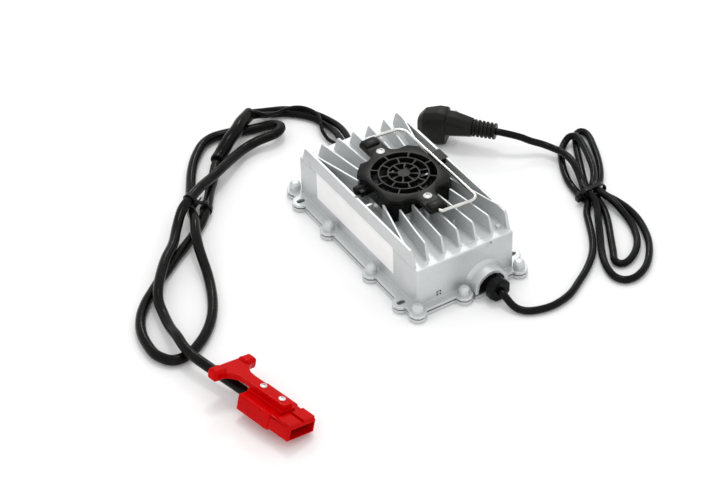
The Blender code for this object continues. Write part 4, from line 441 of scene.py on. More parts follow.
CAST = Finish(
    "cast_aluminium", "cast", (0.62, 0.64, 0.64), 0.42, Grain.CAST, metallic=0.6, scale=1400.0,
    depth=0.06 * MM, spread=0.04, soil=0.10, blemishes=(((101 * MM, 26 * MM, 45 * MM), 4 * MM),),
)
GASKET = Finish("gasket_rubber", "gasket", (0.04, 0.04, 0.04), 0.8, Grain.MOULDED, scale=1600.0)
ZINC = Finish("zinc_steel", "screw", (0.78, 0.78, 0.76), 0.28, Grain.BRUSHED, metallic=1.0, depth=0.02 * MM)
COVER_BLACK = Finish(
    "cover_plastic", "black", (0.007, 0.0066, 0.006), 0.3, Grain.MOULDED, specular=0.1, scale=1800.0,
    depth=0.03 * MM, soil=0.08,
)
FRAME_BLACK = Finish(
    "frame_plastic", "black", (0.004, 0.004, 0.004), 0.28, Grain.MOULDED, specular=0.1, scale=1500.0,
)
ROTOR_BLACK = Finish(
    "rotor_plastic", "black", (0.004, 0.004, 0.004), 0.34, Grain.MOULDED, specular=0.1, scale=1500.0,
)
GLAND_BLACK = Finish(
    "gland_nylon", "black", (0.004, 0.004, 0.004), 0.28, Grain.MOULDED, specular=0.12, scale=1300.0,
)
TIE_BLACK = Finish(
    "tie_nylon", "black", (0.006, 0.006, 0.006), 0.28, Grain.MOULDED, specular=0.16, scale=1300.0,
)
PLUG_BLACK = Finish(
    "plug_plastic", "black", (0.009, 0.0087, 0.008), 0.38, Grain.MOULDED, specular=0.15, scale=2000.0,
    depth=0.05 * MM, soil=0.08,
)
BAIL_STEEL = Finish(
    "bail_steel", "wire", (0.7, 0.69, 0.66), 0.24, Grain.BRUSHED, metallic=1.0, scale=700.0, depth=0.02 * MM,
)
LAMINATE = Finish("board_laminate", "laminate", (0.03, 0.2, 0.09), 0.45, Grain.PRINTED, coat=0.4)
FERRITE = Finish("core_ferrite", "ferrite", (0.05, 0.05, 0.055), 0.6, Grain.MOULDED, scale=2200.0)
COPPER = Finish(
    "winding_copper", "copper", (0.62, 0.28, 0.12), 0.3, Grain.WOUND, metallic=0.8, depth=0.35 * MM,
)
CAN_SLEEVE = Finish("capacitor_sleeve", "can", (0.05, 0.08, 0.2), 0.35, Grain.JACKET, coat=0.3)
CAN_BLACK = Finish("component_black", "black", (0.02, 0.02, 0.021), 0.5, Grain.MOULDED, scale=2200.0)
CERAMIC = Finish("fuse_ceramic", "ceramic", (0.8, 0.78, 0.72), 0.3, Grain.MOULDED)
JACKET = Finish(
    "lead_jacket", "jacket", (0.003, 0.003, 0.003), 0.16, Grain.JACKET, specular=0.1, scale=1200.0,
    depth=0.08 * MM, soil=0.08,
)
SLEEVE_JACKET = Finish(
    "sleeve_jacket", "jacket", (0.0035, 0.0032, 0.003), 0.18, Grain.JACKET, specular=0.1, scale=900.0,
    depth=0.12 * MM, soil=0.1,
)
RED = Finish(
    "connector_red", "red", (0.52, 0.0003, 0.0008), 0.2, Grain.MOULDED, specular=0.04, coat=0.03,
    scale=700.0, depth=0.04 * MM, spread=0.05, soil=0.05, soil_colour=(0.18, 0.01, 0.01),
)
BRASS = Finish(
    "contact_brass", "contact", (0.78, 0.6, 0.3), 0.3, Grain.BRUSHED, metallic=1.0, depth=0.02 * MM,
)
NICKEL = Finish("pin_nickel", "pin", (0.78, 0.75, 0.7), 0.22, Grain.BRUSHED, metallic=1.0, depth=0.02 * MM)
LABEL_WHITE = Finish(
    "label_film", "ceramic", (0.93, 0.93, 0.92), 0.38, Grain.MOULDED, scale=500.0, depth=0.02 * MM,
    spread=0.03, soil=0.05,
)


class Palette:
    """Builds each finish once and dresses objects with it."""

    def __init__(self) -> None:
        self.made: dict[str, bpy.types.Material] = {}

    def material(self, finish: Finish) -> bpy.types.Material:
        """Return the material of a finish.

        Args:
            finish: The finish.
        """
        if finish.name not in self.made:
            self.made[finish.name] = finish.shade()
        return self.made[finish.name]

    def dress(self, piece: bpy.types.Object, finish: Finish, body: Body) -> None:
        """Give a new piece its finish and let it ride.

        Args:
            piece: The new piece.
            finish: Its finish.
            body: The body that it rides on.
        """
        piece.data.materials.clear()
        piece.data.materials.append(self.material(finish))
        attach(piece, body.value)

    def dress_nodes(self, names: Iterable[str], finish: Finish) -> None:
        """Give solids a better material.

        Args:
            names: The nodes.
            finish: Their finish.
        """
        for name in names:
            for slot in frame["nodes"][name].material_slots:
                slot.material = self.material(finish)


class Bench:
    """Modelling steps that the pieces share."""

    @staticmethod
    def select_only(piece: bpy.types.Object) -> None:
        """Make one object the only selected and the active one.

        Args:
            piece: The object.
        """
        for other in bpy.context.view_layer.objects:
            other.select_set(False)
        piece.select_set(True)
        bpy.context.view_layer.objects.active = piece

    @staticmethod
    def edit(piece: bpy.types.Object) -> None:
        """Open a mesh for editing with everything selected.

        Args:
            piece: The object.
        """
        Bench.select_only(piece)
        bpy.ops.object.mode_set(mode="EDIT")
        bpy.ops.mesh.select_mode(type="VERT")
        bpy.ops.mesh.select_all(action="SELECT")

    @staticmethod
    def close() -> None:
        """Leave editing."""
        bpy.ops.object.mode_set(mode="OBJECT")

    @staticmethod
    def apply(piece: bpy.types.Object, kind: str, **settings: object) -> None:
        """Add a modifier and apply it.

        Args:
            piece: The object.
            kind: The modifier's type.
            settings: Its values.
        """
        Bench.select_only(piece)
        modifier = piece.modifiers.new(kind.title(), kind)
        for key, value in settings.items():
            setattr(modifier, key, value)
        bpy.ops.object.modifier_apply(modifier=modifier.name)

    @staticmethod
    def settle(piece: bpy.types.Object, angle: float = 35.0) -> bpy.types.Object:
        """Apply the piece's place to its mesh, face it outwards and shade it.

        Args:
            piece: The object.
            angle: Edges below this angle, in degrees, are shaded smooth.

        Returns:
            The same object.
        """
        Bench.select_only(piece)
        bpy.ops.object.transform_apply(location=True, rotation=True, scale=True)
        Bench.edit(piece)
        bpy.ops.mesh.normals_make_consistent(inside=False)
        Bench.close()
        bpy.ops.object.shade_smooth_by_angle(angle=math.radians(angle))
        return piece

    @staticmethod
    def rounded(
        piece: bpy.types.Object, width: float, segments: int = 2, limit: float = 32.0
    ) -> None:
        """Round the sharp edges of a piece.

        Args:
            piece: The object.
            width: Width of the rounding.
            segments: Faces across it.
            limit: Edges sharper than this, in degrees, are rounded.
        """
        Bench.apply(
            piece, "BEVEL", width=width, segments=segments, limit_method="ANGLE",
            angle_limit=math.radians(limit), use_clamp_overlap=False, miter_outer="MITER_ARC",
        )

    @staticmethod
    def copy_of_node(node: str, name: str) -> bpy.types.Object:
        """Return a merged copy of a solid, with its flat faces whole.

        Args:
            node: The node.
            name: Name of the copy.
        """
        piece = bpy.data.objects.new(name, frame["nodes"][node].data.copy())
        bpy.context.scene.collection.objects.link(piece)
        Bench.edit(piece)
        bpy.ops.mesh.remove_doubles(threshold=0.00002)
        bpy.ops.mesh.normals_make_consistent(inside=False)
        Bench.close()
        return piece

    @staticmethod
    def refined(node: str, name: str, width: float, segments: int = 2) -> bpy.types.Object:
        """Return a copy of a solid with rounded edges that stands for it.

        Args:
            node: The node.
            name: Name of the piece.
            width: Width of the rounding.
            segments: Faces across it.
        """
        piece = Bench.copy_of_node(node, name)
        Bench.rounded(piece, width, segments)
        Bench.settle(piece, 40.0)
        Bench.apply(piece, "WEIGHTED_NORMAL", keep_sharp=True)
        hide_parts(node)
        return piece

    @staticmethod
    def from_points(
        name: str, points: Sequence[Point], edges: Sequence = (), faces: Sequence = ()
    ) -> bpy.types.Object:
        """Add a piece made of given points.

        Args:
            name: Name of the piece.
            points: Its points.
            edges: Its edges, as pairs of point numbers.
            faces: Its faces, as rows of point numbers.
        """
        mesh = bpy.data.meshes.new(name)
        mesh.from_pydata(points, edges, faces)
        piece = bpy.data.objects.new(name, mesh)
        bpy.context.scene.collection.objects.link(piece)
        return piece

    @staticmethod
    def close_outward() -> None:
        """Face the whole mesh outwards and leave editing."""
        bpy.ops.mesh.select_all(action="SELECT")
        bpy.ops.mesh.normals_make_consistent(inside=False)
        Bench.close()

    @staticmethod
    def raise_outline(piece: bpy.types.Object, height: float) -> None:
        """Extrude a flat outline upwards.

        Args:
            piece: The outline.
            height: How far it goes up.
        """
        Bench.edit(piece)
        bpy.ops.mesh.extrude_region_move(TRANSFORM_OT_translate={"value": (0, 0, height)})
        Bench.close_outward()

    @staticmethod
    def turned(name: str, profile: Sequence[tuple[float, float]], steps: int = 32) -> bpy.types.Object:
        """Spin a profile round Z.

        Args:
            name: Name of the piece.
            profile: Points as (radius, height).
            steps: Faces round the axis.

        Returns:
            The piece, at the origin.
        """
        points = [(radius, 0, height) for radius, height in profile]
        piece = Bench.from_points(name, points, [(i, i + 1) for i in range(len(points) - 1)])
        Bench.edit(piece)
        bpy.ops.mesh.spin(steps=steps, angle=math.tau, center=(0, 0, 0), axis=(0, 0, 1))
        bpy.ops.mesh.select_all(action="SELECT")
        bpy.ops.mesh.remove_doubles(threshold=0.00001)
        Bench.close()
        return piece

    @staticmethod
    def block(name: str, low: Point, high: Point) -> bpy.types.Object:
        """Add a box between two corners.

        Args:
            name: Name of the piece.
            low: Lowest corner.
            high: Highest corner.
        """
        bpy.ops.mesh.primitive_cube_add(size=1, location=[(a + b) / 2 for a, b in zip(low, high)])
        piece = bpy.context.object
        piece.name = name
        piece.data.name = name
        piece.scale = [b - a for a, b in zip(low, high)]
        Bench.select_only(piece)
        bpy.ops.object.transform_apply(location=True, rotation=True, scale=True)
        return piece

    @staticmethod
    def placed(piece: bpy.types.Object, matrix: Matrix) -> bpy.types.Object:
        """Move a piece by a matrix and apply it.

        Args:
            piece: The object.
            matrix: Where it goes.
        """
        piece.data.transform(matrix)
        piece.data.update()
        return piece

    @staticmethod
    def twin(piece: bpy.types.Object, name: str, matrix: Matrix) -> bpy.types.Object:
        """Copy a piece with its own mesh to another place.

        Args:
            piece: The modelled piece.
            name: Name of the copy.
            matrix: Where it goes.
        """
        copy = bpy.data.objects.new(name, piece.data.copy())
        bpy.context.scene.collection.objects.link(copy)
        return Bench.placed(copy, matrix)

    @staticmethod
    def combine(target: bpy.types.Object, tool: bpy.types.Object, operation: str) -> None:
        """Join or cut with another mesh, which is used up.

        Args:
            target: The piece.
            tool: The other mesh.
            operation: UNION or DIFFERENCE.
        """
        Bench.apply(target, "BOOLEAN", operation=operation, solver="EXACT", object=tool)
        bpy.data.objects.remove(tool, do_unlink=True)


def smooth_route(points: Sequence[Sequence[float]], spacing: float) -> list[Vector]:
    """Return points at an even spacing on a smooth curve through a route.

    Args:
        points: The route, in metres.
        spacing: Distance between the points that are returned.
    """
    fine_steps = 12
    knots = [Vector(p) for p in points]
    knots = [2 * knots[0] - knots[1]] + knots + [2 * knots[-1] - knots[-2]]
    fine = []
    for before, start, end, after in zip(knots, knots[1:], knots[2:], knots[3:]):
        span = (end - start).length
        lead_in = (end - before) / ((start - before).length + span) * span
        lead_out = (after - start) / ((after - end).length + span) * span
        for step in range(fine_steps):
            t = step / fine_steps
            fine.append(
                (2 * t**3 - 3 * t**2 + 1) * start
                + (t**3 - 2 * t**2 + t) * lead_in
                + (3 * t**2 - 2 * t**3) * end
                + (t**3 - t**2) * lead_out
            )
    fine.append(knots[-2])
    chosen = [fine[0]]
    for place in fine[1:]:
        if (place - chosen[-1]).length >= spacing:
            chosen.append(place)
    if (fine[-1] - chosen[-1]).length < spacing / 2 and len(chosen) > 1:
        chosen.pop()
    return [*chosen, fine[-1]]


def arc(
    centre: tuple[float, float], radius: float, start: float, end: float, steps: int
) -> list[tuple[float, float]]:
    """Return points on a flat arc, both ends included.

    Args:
        centre: Its centre.
        radius: Its radius.
        start: Angle of its first point, in degrees.
        end: Angle of its last point, in degrees.
        steps: Number of its stretches.
    """
    angles = [math.radians(start + (end - start) * step / steps) for step in range(steps + 1)]
    return [(centre[0] + radius * math.cos(angle), centre[1] + radius * math.sin(angle)) for angle in angles]


def in_metres(route: Iterable[Sequence[float]]) -> list[Point]:
    """Return a route in metres.

    Args:
        route: The route, in millimetres.
    """
    return [tuple(value * MM for value in point) for point in route]


def nearest_stretch(points: Sequence[Vector], place: Vector) -> tuple[Vector, Vector]:
    """Return the middle and heading of the stretch of a cord nearest to a place.

    Args:
        points: Points along the cord.
        place: The place.
    """
    middles = [(first + second) / 2 for first, second in zip(points, points[1:])]
    number = min(range(len(middles)), key=lambda i: (middles[i] - place).length)
    return middles[number], (points[number + 1] - points[number]).normalized()


def tube(
    name: str, points: Sequence[Sequence[float]], radius: float, resolution: int = 5
) -> bpy.types.Object:
    """Lay a round tube through points as one open spline.

    Args:
        name: Name of the object.
        points: The points, in metres.
        radius: Radius of the tube.
        resolution: Faces on a quarter of its circle, less one.

    Returns:
        The curve object.
    """
    curve = bpy.data.curves.new(name, "CURVE")
    curve.dimensions = "3D"
    curve.bevel_depth = radius
    curve.bevel_resolution = resolution
    curve.use_fill_caps = True
    spline = curve.splines.new("POLY")
    spline.points.add(len(points) - 1)
    for point, place in zip(spline.points, points):
        point.co = (*place, 1)
    spline.use_smooth = True
    piece = bpy.data.objects.new(name, curve)
    bpy.context.scene.collection.objects.link(piece)
    return piece


def as_mesh(piece: bpy.types.Object) -> bpy.types.Object:
    """Turn a tube into a finished mesh piece.

    Args:
        piece: The curve object.
    """
    Bench.select_only(piece)
    bpy.ops.object.convert(target="MESH")
    piece = bpy.context.object
    Bench.edit(piece)
    bpy.ops.mesh.remove_doubles(threshold=0.00001)
    Bench.close()
    return Bench.settle(piece, 50.0)


class FreeCord:
    """A flexible cord on a fixed route."""

    def __init__(self, name: str, route: Sequence[Sequence[float]], facts: CordFacts, finish: Finish) -> None:
        self.name = name
        self.route = route
        self.facts = facts
        self.finish = finish
        self.points = smooth_route(route, max(facts.radius * 0.7, 1.6 * MM))

    def first_stretch(self, length: float) -> list[Vector]:
        """Return the points of the cord's start.

        Args:
            length: Length of the stretch.
        """
        chosen = [self.points[0]]
        span = 0.0
        for place in self.points[1:]:
            span += (place - chosen[-1]).length
            if span > length:
                break
            chosen.append(place)
        return chosen

    def lay(self, palette: Palette, nodes: Sequence[str], with_pieces: Sequence[object]) -> bpy.types.Object:
        """Args:
            palette: The finishes.
            nodes: Solids that it stands for.
            with_pieces: Pieces that are on it; not used.

        Returns:
            The curve object.
        """
        piece = tube(self.name, self.points, self.facts.radius)
        palette.dress(piece, self.finish, Body.CHARGER)
        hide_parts(*nodes)
        span = sum((b - a).length for a, b in zip(self.points, self.points[1:]))
        LOG.info("%s measures %.0f mm", self.name, span / MM)
        return piece


@dataclass(frozen=True)
class CableTie:
    """A nylon cable tie round one or several cords."""

    half_width: float
    half_height: float
    tail: float = 7 * MM

    BAND = 1.1 * MM
    WIDTH = 4.6 * MM
    SIDES = 40
    HEAD_DEPTH = 3.6 * MM
    HEAD_HALF_SPAN = 2.9 * MM
    HEAD_HALF_LENGTH = 2.7 * MM
    HEAD_SINK = 0.4
    HEAD_ROUNDING = 0.5 * MM
    TAIL_START = 2 * MM
    TAIL_LOW = 1.2 * MM
    TAIL_HIGH = 2.3 * MM
    TAIL_HALF_WIDTH = 1.9 * MM
    TAIL_ROUNDING = 0.25 * MM

    def build(self, name: str, place: Vector, heading: Vector, head_turn: float) -> bpy.types.Object:
        """Model the band, its locking head and its cut tail.

        Args:
            name: Name of the piece.
            place: Middle of the ring.
            heading: Direction of the cords.
            head_turn: Where the head sits round the ring, in degrees from the floor side.

        Returns:
            The piece.
        """
        round_part = min(self.half_width, self.half_height)
        flat = Vector((self.half_width - round_part, self.half_height - round_part))
        ring = []
        for i in range(self.SIDES):
            angle = math.tau * i / self.SIDES
            x = math.cos(angle) * round_part + math.copysign(flat.x, math.cos(angle))
            y = math.sin(angle) * round_part + math.copysign(flat.y, math.sin(angle))
            ring.append((x, y, -self.WIDTH / 2))
        piece = Bench.from_points(name, ring, [(i, (i + 1) % self.SIDES) for i in range(self.SIDES)])
        Bench.raise_outline(piece, self.WIDTH)
        Bench.apply(piece, "SOLIDIFY", thickness=self.BAND, offset=1.0, use_even_offset=True)
        reach = self.half_width
        head = Bench.block(
            f"{name}_head",
            (reach + self.BAND * self.HEAD_SINK, -self.HEAD_HALF_SPAN, -self.HEAD_HALF_LENGTH),
            (reach + self.BAND + self.HEAD_DEPTH, self.HEAD_HALF_SPAN, self.HEAD_HALF_LENGTH),
        )
        Bench.rounded(head, self.HEAD_ROUNDING)
        tail_end = self.HEAD_HALF_SPAN + self.tail
        tail = Bench.block(
            f"{name}_tail",
            (reach + self.BAND + self.TAIL_LOW, self.TAIL_START, -self.TAIL_HALF_WIDTH),
            (reach + self.BAND + self.TAIL_HIGH, tail_end, self.TAIL_HALF_WIDTH),
        )
        Bench.rounded(tail, self.TAIL_ROUNDING)
        Bench.combine(head, tail, "UNION")
        Bench.combine(piece, head, "UNION")
        frame_turn = heading.to_track_quat("Z", "Y").to_matrix().to_4x4()
        ring_turn = Matrix.Rotation(math.radians(head_turn), 4, "Z")
        Bench.placed(piece, Matrix.Translation(place) @ frame_turn @ ring_turn)
        return Bench.settle(piece)


class CameraRig:
    """The camera that the photograph was taken with."""

    AZIMUTH = 59.0642
    ELEVATION = 39.8650
    DISTANCE = 2.22328
    TARGET = Vector((-0.006227, -0.045494, 0.0))
    ROLL = -1.84256
    FOCAL_LENGTH = 119.786
    SENSOR = 36.0
    IMAGE_SIZE = (720, 494)

    def build(self) -> bpy.types.Object:
        """Place the camera.

        Returns:
            The camera object.
        """
        azimuth, elevation = math.radians(self.AZIMUTH), math.radians(self.ELEVATION)
        back = Vector(
            (
                math.sin(azimuth) * math.cos(elevation),
                -math.cos(azimuth) * math.cos(elevation),
                math.sin(elevation),
            )
        )
        right = Vector((math.cos(azimuth), math.sin(azimuth), 0))
        up = back.cross(right)
        roll = math.radians(self.ROLL)
        turned_right = math.cos(roll) * right + math.sin(roll) * up
        turned_up = -math.sin(roll) * right + math.cos(roll) * up
        data = bpy.data.cameras.new("camera")
        data.sensor_fit = "HORIZONTAL"
        data.sensor_width = self.SENSOR
        data.lens = self.FOCAL_LENGTH
        data.clip_end = 20
        camera = bpy.data.objects.new("camera", data)
        turn = Matrix((turned_right, turned_up, back)).transposed().to_4x4()
        camera.matrix_world = Matrix.Translation(self.TARGET + back * self.DISTANCE) @ turn
        scene = bpy.context.scene
        scene.collection.objects.link(camera)
        scene.camera = camera
        scene.render.resolution_x, scene.render.resolution_y = self.IMAGE_SIZE
        return camera


class Studio:
    """White floor, even surroundings, a soft lamp overhead and a small one across the cords."""

    FLOOR_HALF = 6.0
    FLOOR_DROP = 0.0004
    FLOOR_COLOUR = (0.93, 0.93, 0.93)
    FLOOR_ROUGHNESS = 0.9
    SURROUND = 1.0
    LAMPS = (
        ("overhead", (-0.45, 0.3, 1.9), 0.4, 7.0),
        ("across", (-1.42, 0.9, 1.38), 0.17, 3.6),
    )

    def build(self) -> None:
        """Set up the floor, the surroundings and the lamps."""
        scene = bpy.context.scene
        scene.view_settings.view_transform = "Standard"
        self._floor()
        self._surroundings()
        for name, place, size, power in self.LAMPS:
            lamp_data = bpy.data.lights.new(name, "AREA")
            lamp_data.shape = "SQUARE"
            lamp_data.size = size
            lamp_data.energy = power
            lamp = bpy.data.objects.new(name, lamp_data)
            lamp.location = place
            lamp.rotation_euler = (-Vector(place)).to_track_quat("-Z", "Y").to_euler()
            scene.collection.objects.link(lamp)

    def _floor(self) -> None:
        """Make the floor, which takes soft shadows and is otherwise white."""
        bpy.ops.mesh.primitive_plane_add(size=2 * self.FLOOR_HALF, location=(0, 0, -self.FLOOR_DROP))
        floor = bpy.context.object
        floor.name = "floor"
        material = bpy.data.materials.new("floor_white")
        material.use_nodes = True
        shader = material.node_tree.nodes["Principled BSDF"]
        shader.inputs["Base Color"].default_value = (*self.FLOOR_COLOUR, 1)
        shader.inputs["Roughness"].default_value = self.FLOOR_ROUGHNESS
        shader.inputs["Specular IOR Level"].default_value = 0.0
        floor.data.materials.append(material)

    def _surroundings(self) -> None:
        """Light evenly from all round, and show pure white to the camera."""
        world = bpy.data.worlds.new("surroundings")
        bpy.context.scene.world = world
        world.use_nodes = True
        tree = world.node_tree
        tree.nodes.clear()
        even = tree.nodes.new("ShaderNodeBackground")
        even.inputs["Color"].default_value = (1, 1, 1, 1)
        even.inputs["Strength"].default_value = self.SURROUND
        white = tree.nodes.new("ShaderNodeBackground")
        white.inputs["Color"].default_value = (1, 1, 1, 1)
        white.inputs["Strength"].default_value = 1.0
        rays = tree.nodes.new("ShaderNodeLightPath")
        mix = tree.nodes.new("ShaderNodeMixShader")
        output = tree.nodes.new("ShaderNodeOutputWorld")
        tree.links.new(rays.outputs["Is Camera Ray"], mix.inputs[0])
        tree.links.new(even.outputs[0], mix.inputs[1])
        tree.links.new(white.outputs[0], mix.inputs[2])
        tree.links.new(mix.outputs[0], output.inputs[0])


class ConnectorPose:
    """The pose of the connector, which lies rolled on its right-hand edge."""

    LENGTH = 59 * MM
    WIDTH = 30 * MM
    HEIGHT = 16 * MM
    YAW = 12.5
    ROLL = 16.0
    FRONT_RIGHT = (181 * MM, -211 * MM, 0.2 * MM)

    @classmethod
    def matrix(cls) -> Matrix:
        """Return the connector's frame in the object's frame."""
        yaw = Matrix.Rotation(math.radians(cls.YAW), 4, "Z")
        turn = yaw @ Matrix.Rotation(-math.radians(cls.ROLL), 4, "X")
        corner = turn @ Vector((cls.LENGTH / 2, cls.WIDTH / 2, 0))
        return Matrix.Translation(Vector(cls.FRONT_RIGHT) - corner) @ turn

    @classmethod
    def point(cls, x: float, y: float, z: float) -> Point:
        """Return a point of the connector's frame in the object's frame.

        Args:
            x: Towards the mouth.
            y: To its left.
            z: Up from its underside.
        """
        return tuple(cls.matrix() @ Vector((x, y, z)))


class PlugPose:
    """The pose of the mains plug."""

    CENTRE = (-93.1 * MM, 95.8 * MM)
    HEADING = 40.0
    AXIS_Y = 11 * MM
    AXIS_Z = 24 * MM
    CORD_END = 55.3 * MM
    CORD_ONWARD = 62 * MM

    @classmethod
    def matrix(cls) -> Matrix:
        """Return the plug's frame in the object's frame: X along its neck, Y towards its pins."""
        return Matrix.Translation((*cls.CENTRE, 0)) @ Matrix.Rotation(math.radians(cls.HEADING), 4, "Z")

    @classmethod
    def point(cls, x: float) -> Point:
        """Return a point of the cord's axis through the neck.

        Args:
            x: Distance along the neck.
        """
        return tuple(cls.matrix() @ Vector((x, cls.AXIS_Y, cls.AXIS_Z)))


class ChargingLead:
    """Three conductors, the sleeve that gathers them, its boot and its cable ties."""

    BOOT_LENGTH = 71 * MM
    BOOT_RADIUS = 6.7 * MM
    TIES_NEAR = ((-129, -150, 19), (-129, -140, 7))
    TIE_GAP = 0.15 * MM
    TIE_TURN = 120.0
    TIE_TURN_BACK = 150.0
    CONNECTOR_XS = (-45.5 * MM, -29.8 * MM)
    FLOOR_GAP = 0.3 * MM
    BOOT_ROUNDING = 0.6 * MM
    FACTS = {
        "charge_lead_1": CordFacts(0.157, THICK_LEAD_RADIUS, "fitting"),
        "charge_lead_2": CordFacts(0.142, THICK_LEAD_RADIUS, "fitting"),
        "sense_lead": CordFacts(0.148, THIN_LEAD_RADIUS, "fitting"),
        "charge_sleeve": CordFacts(1.247, SLEEVE_RADIUS, "connector"),
    }

    def __init__(self, palette: Palette) -> None:
        self.palette = palette

    def build(self, connector_pieces: Sequence[object]) -> None:
        """Lay the leads and the sleeve.

        Args:
            connector_pieces: Pieces at the sleeve's far end.
        """
        ends = [ConnectorPose.point(x, 0, ConnectorPose.HEIGHT / 2) for x in self.CONNECTOR_XS]
        sleeve = FreeCord(
            "charge_sleeve_cord", [*in_metres(SLEEVE_ROUTE), *ends], self.FACTS["charge_sleeve"],
            SLEEVE_JACKET,
        )
        boot = self._boot(sleeve)
        routes = (THICK_LEAD_1_ROUTE, THICK_LEAD_2_ROUTE, THIN_LEAD_ROUTE)
        names = ("charge_lead_1", "charge_lead_2", "sense_lead")
        for name, (y, z), route in zip(names, LEAD_EXITS, routes):
            straight = ((-EXIT_X, y * MM, z * MM), (-ONWARD_X, y * MM, z * MM))
            cord = FreeCord(f"{name}_cord", [*straight, *in_metres(route)], self.FACTS[name], JACKET)
            cord.lay(self.palette, [name], [boot])
        ties = []
        for number, near in enumerate(in_metres(self.TIES_NEAR), 1):
            place, heading = nearest_stretch(sleeve.points, Vector(near))
            radius = SLEEVE_RADIUS + self.TIE_GAP
            head_turn = self.TIE_TURN * number - self.TIE_TURN_BACK
            tie = CableTie(radius, radius).build(f"sleeve_tie_{number}_band", place, heading, head_turn)
            self.palette.dress(tie, TIE_BLACK, Body.CHARGER)
            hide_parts(f"sleeve_tie_{number}")
            ties.append(tie)
        sleeve.lay(self.palette, ["charge_sleeve"], [*connector_pieces, *ties])

    def _boot(self, sleeve: FreeCord) -> bpy.types.Object:
        """Model the shrunk cover over the start of the sleeve, where the three conductors enter it.

        Args:
            sleeve: The sleeve.

        Returns:
            The piece.
        """
        lowest = self.BOOT_RADIUS + self.FLOOR_GAP
        stretch = [Vector((p.x, p.y, max(p.z, lowest))) for p in sleeve.first_stretch(self.BOOT_LENGTH)]
        lead_in = (stretch[0] - stretch[1]).normalized()
        start = stretch[0] + lead_in * self.BOOT_RADIUS
        boot = as_mesh(tube("sleeve_boot", [start, *stretch], self.BOOT_RADIUS))
        Bench.rounded(boot, self.BOOT_ROUNDING, 2, 60.0)
        self.palette.dress(boot, SLEEVE_JACKET, Body.CHARGER)
        return boot


class MainsLead:
    """The mains lead in one length: from the gland, five times through the hank's tie, to the plug."""

    FACTS = CordFacts(1.263, MAINS_RADIUS, "plug")
    TIE_GAP = 0.2 * MM
    TIE_TAIL = 5 * MM

    def __init__(self, palette: Palette) -> None:
        self.palette = palette

    def build(self, plug_pieces: Sequence[object]) -> None:
        """Lay the lead and its tie.

        Args:
            plug_pieces: Pieces at the lead's far end.
        """
        outwards = [(TIE_NEAR_X, *STRANDS[0]), (TIE_FAR_X, *STRANDS[0])]
        route = [*MAINS_LEAD_ROUTE, *outwards, *LOOP_FAR_LEFT]
        route += [(TIE_FAR_X, *STRANDS[3]), (TIE_NEAR_X, *STRANDS[3]), *LOOP_NEAR_INNER]
        route += [(TIE_NEAR_X, *STRANDS[2]), (TIE_FAR_X, *STRANDS[2]), *LOOP_FAR_RIGHT]
        route += [(TIE_FAR_X, *STRANDS[4]), (TIE_NEAR_X, *STRANDS[4]), *LOOP_NEAR_OUTER]
        route += [(TIE_NEAR_X, *STRANDS[1]), (TIE_FAR_X, *STRANDS[1]), *TAIL_ROUTE]
        ends = [PlugPose.point(PlugPose.CORD_ONWARD), PlugPose.point(PlugPose.CORD_END)]
        tie = self._tie()
        cord = FreeCord("mains_cord", [*in_metres(route), *ends], self.FACTS, JACKET)
        cord.lay(self.palette, ["mains_lead", "mains_hank", "mains_tail"], [*plug_pieces, tie])

    def _tie(self) -> bpy.types.Object:
        """Model the tie that holds the hank.

        Returns:
            The piece.
        """
        low, high = STRANDS[0], STRANDS[-1]
        lower, upper = STRANDS[0][1], STRANDS[1][1]
        middle = Vector(((TIE_NEAR_X + TIE_FAR_X) / 2, (low[0] + high[0]) / 2, (lower + upper) / 2))
        half_width = (high[0] - low[0]) / 2 * MM + MAINS_RADIUS + self.TIE_GAP
        half_height = (upper - lower) / 2 * MM + MAINS_RADIUS + self.TIE_GAP
        tie = CableTie(half_width, half_height, tail=self.TIE_TAIL)
        piece = tie.build("hank_tie_band", middle * MM, Vector((-1, 0, 0)), 0.0)
        self.palette.dress(piece, TIE_BLACK, Body.CHARGER)
        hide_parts("hank_tie")
        return piece


class Connector:
    """The two-pole connector with its T-handle."""

    HANDLE_TOP = 24.5 * MM
    STRETCH = (1.06, 1.18, 1.0)
    SHIFT = (-1 * MM, 0, 0)
    LIFT = 0.85 * MM
    SCREW_XS = (-21 * MM, 2 * MM)

    def __init__(self, palette: Palette) -> None:
        self.palette = palette

    def build(self) -> list[object]:
        """Model the shell, the handle and the screws.

        Returns:
            The pieces that go with the charging lead.
        """
        shell = Bench.refined("connector_housing", "connector_shell", 0.45 * MM, 2)
        pose = ConnectorPose.matrix()
        stretch = Matrix.Translation(self.SHIFT) @ Matrix.Diagonal((*self.STRETCH, 1))
        Bench.placed(shell, Matrix.Translation((0, 0, self.LIFT)) @ pose @ stretch @ pose.inverted())
        self.palette.dress(shell, RED, Body.CHARGER)
        handle = Bench.refined("connector_handle", "connector_t_handle", 0.8 * MM, 3)
        self.palette.dress(handle, RED, Body.CHARGER)
        self.palette.dress_nodes(("connector_contact_1", "connector_contact_2"), BRASS)
        pieces: list[object] = [shell, handle, "connector_contact_1", "connector_contact_2"]
        screw = Screws.pan_head("handle_screw_model", 3.2 * MM, 1.9 * MM)
        for number, x in enumerate(self.SCREW_XS, 1):
            pose = ConnectorPose.matrix() @ Matrix.Translation((x, 0, self.HANDLE_TOP))
            copy = Bench.twin(screw, f"handle_screw_{number}_head", pose)
            self.palette.dress(copy, ZINC, Body.CHARGER)
            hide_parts(f"handle_screw_{number}")
            pieces.append(copy)
        bpy.data.objects.remove(screw, do_unlink=True)
        return pieces


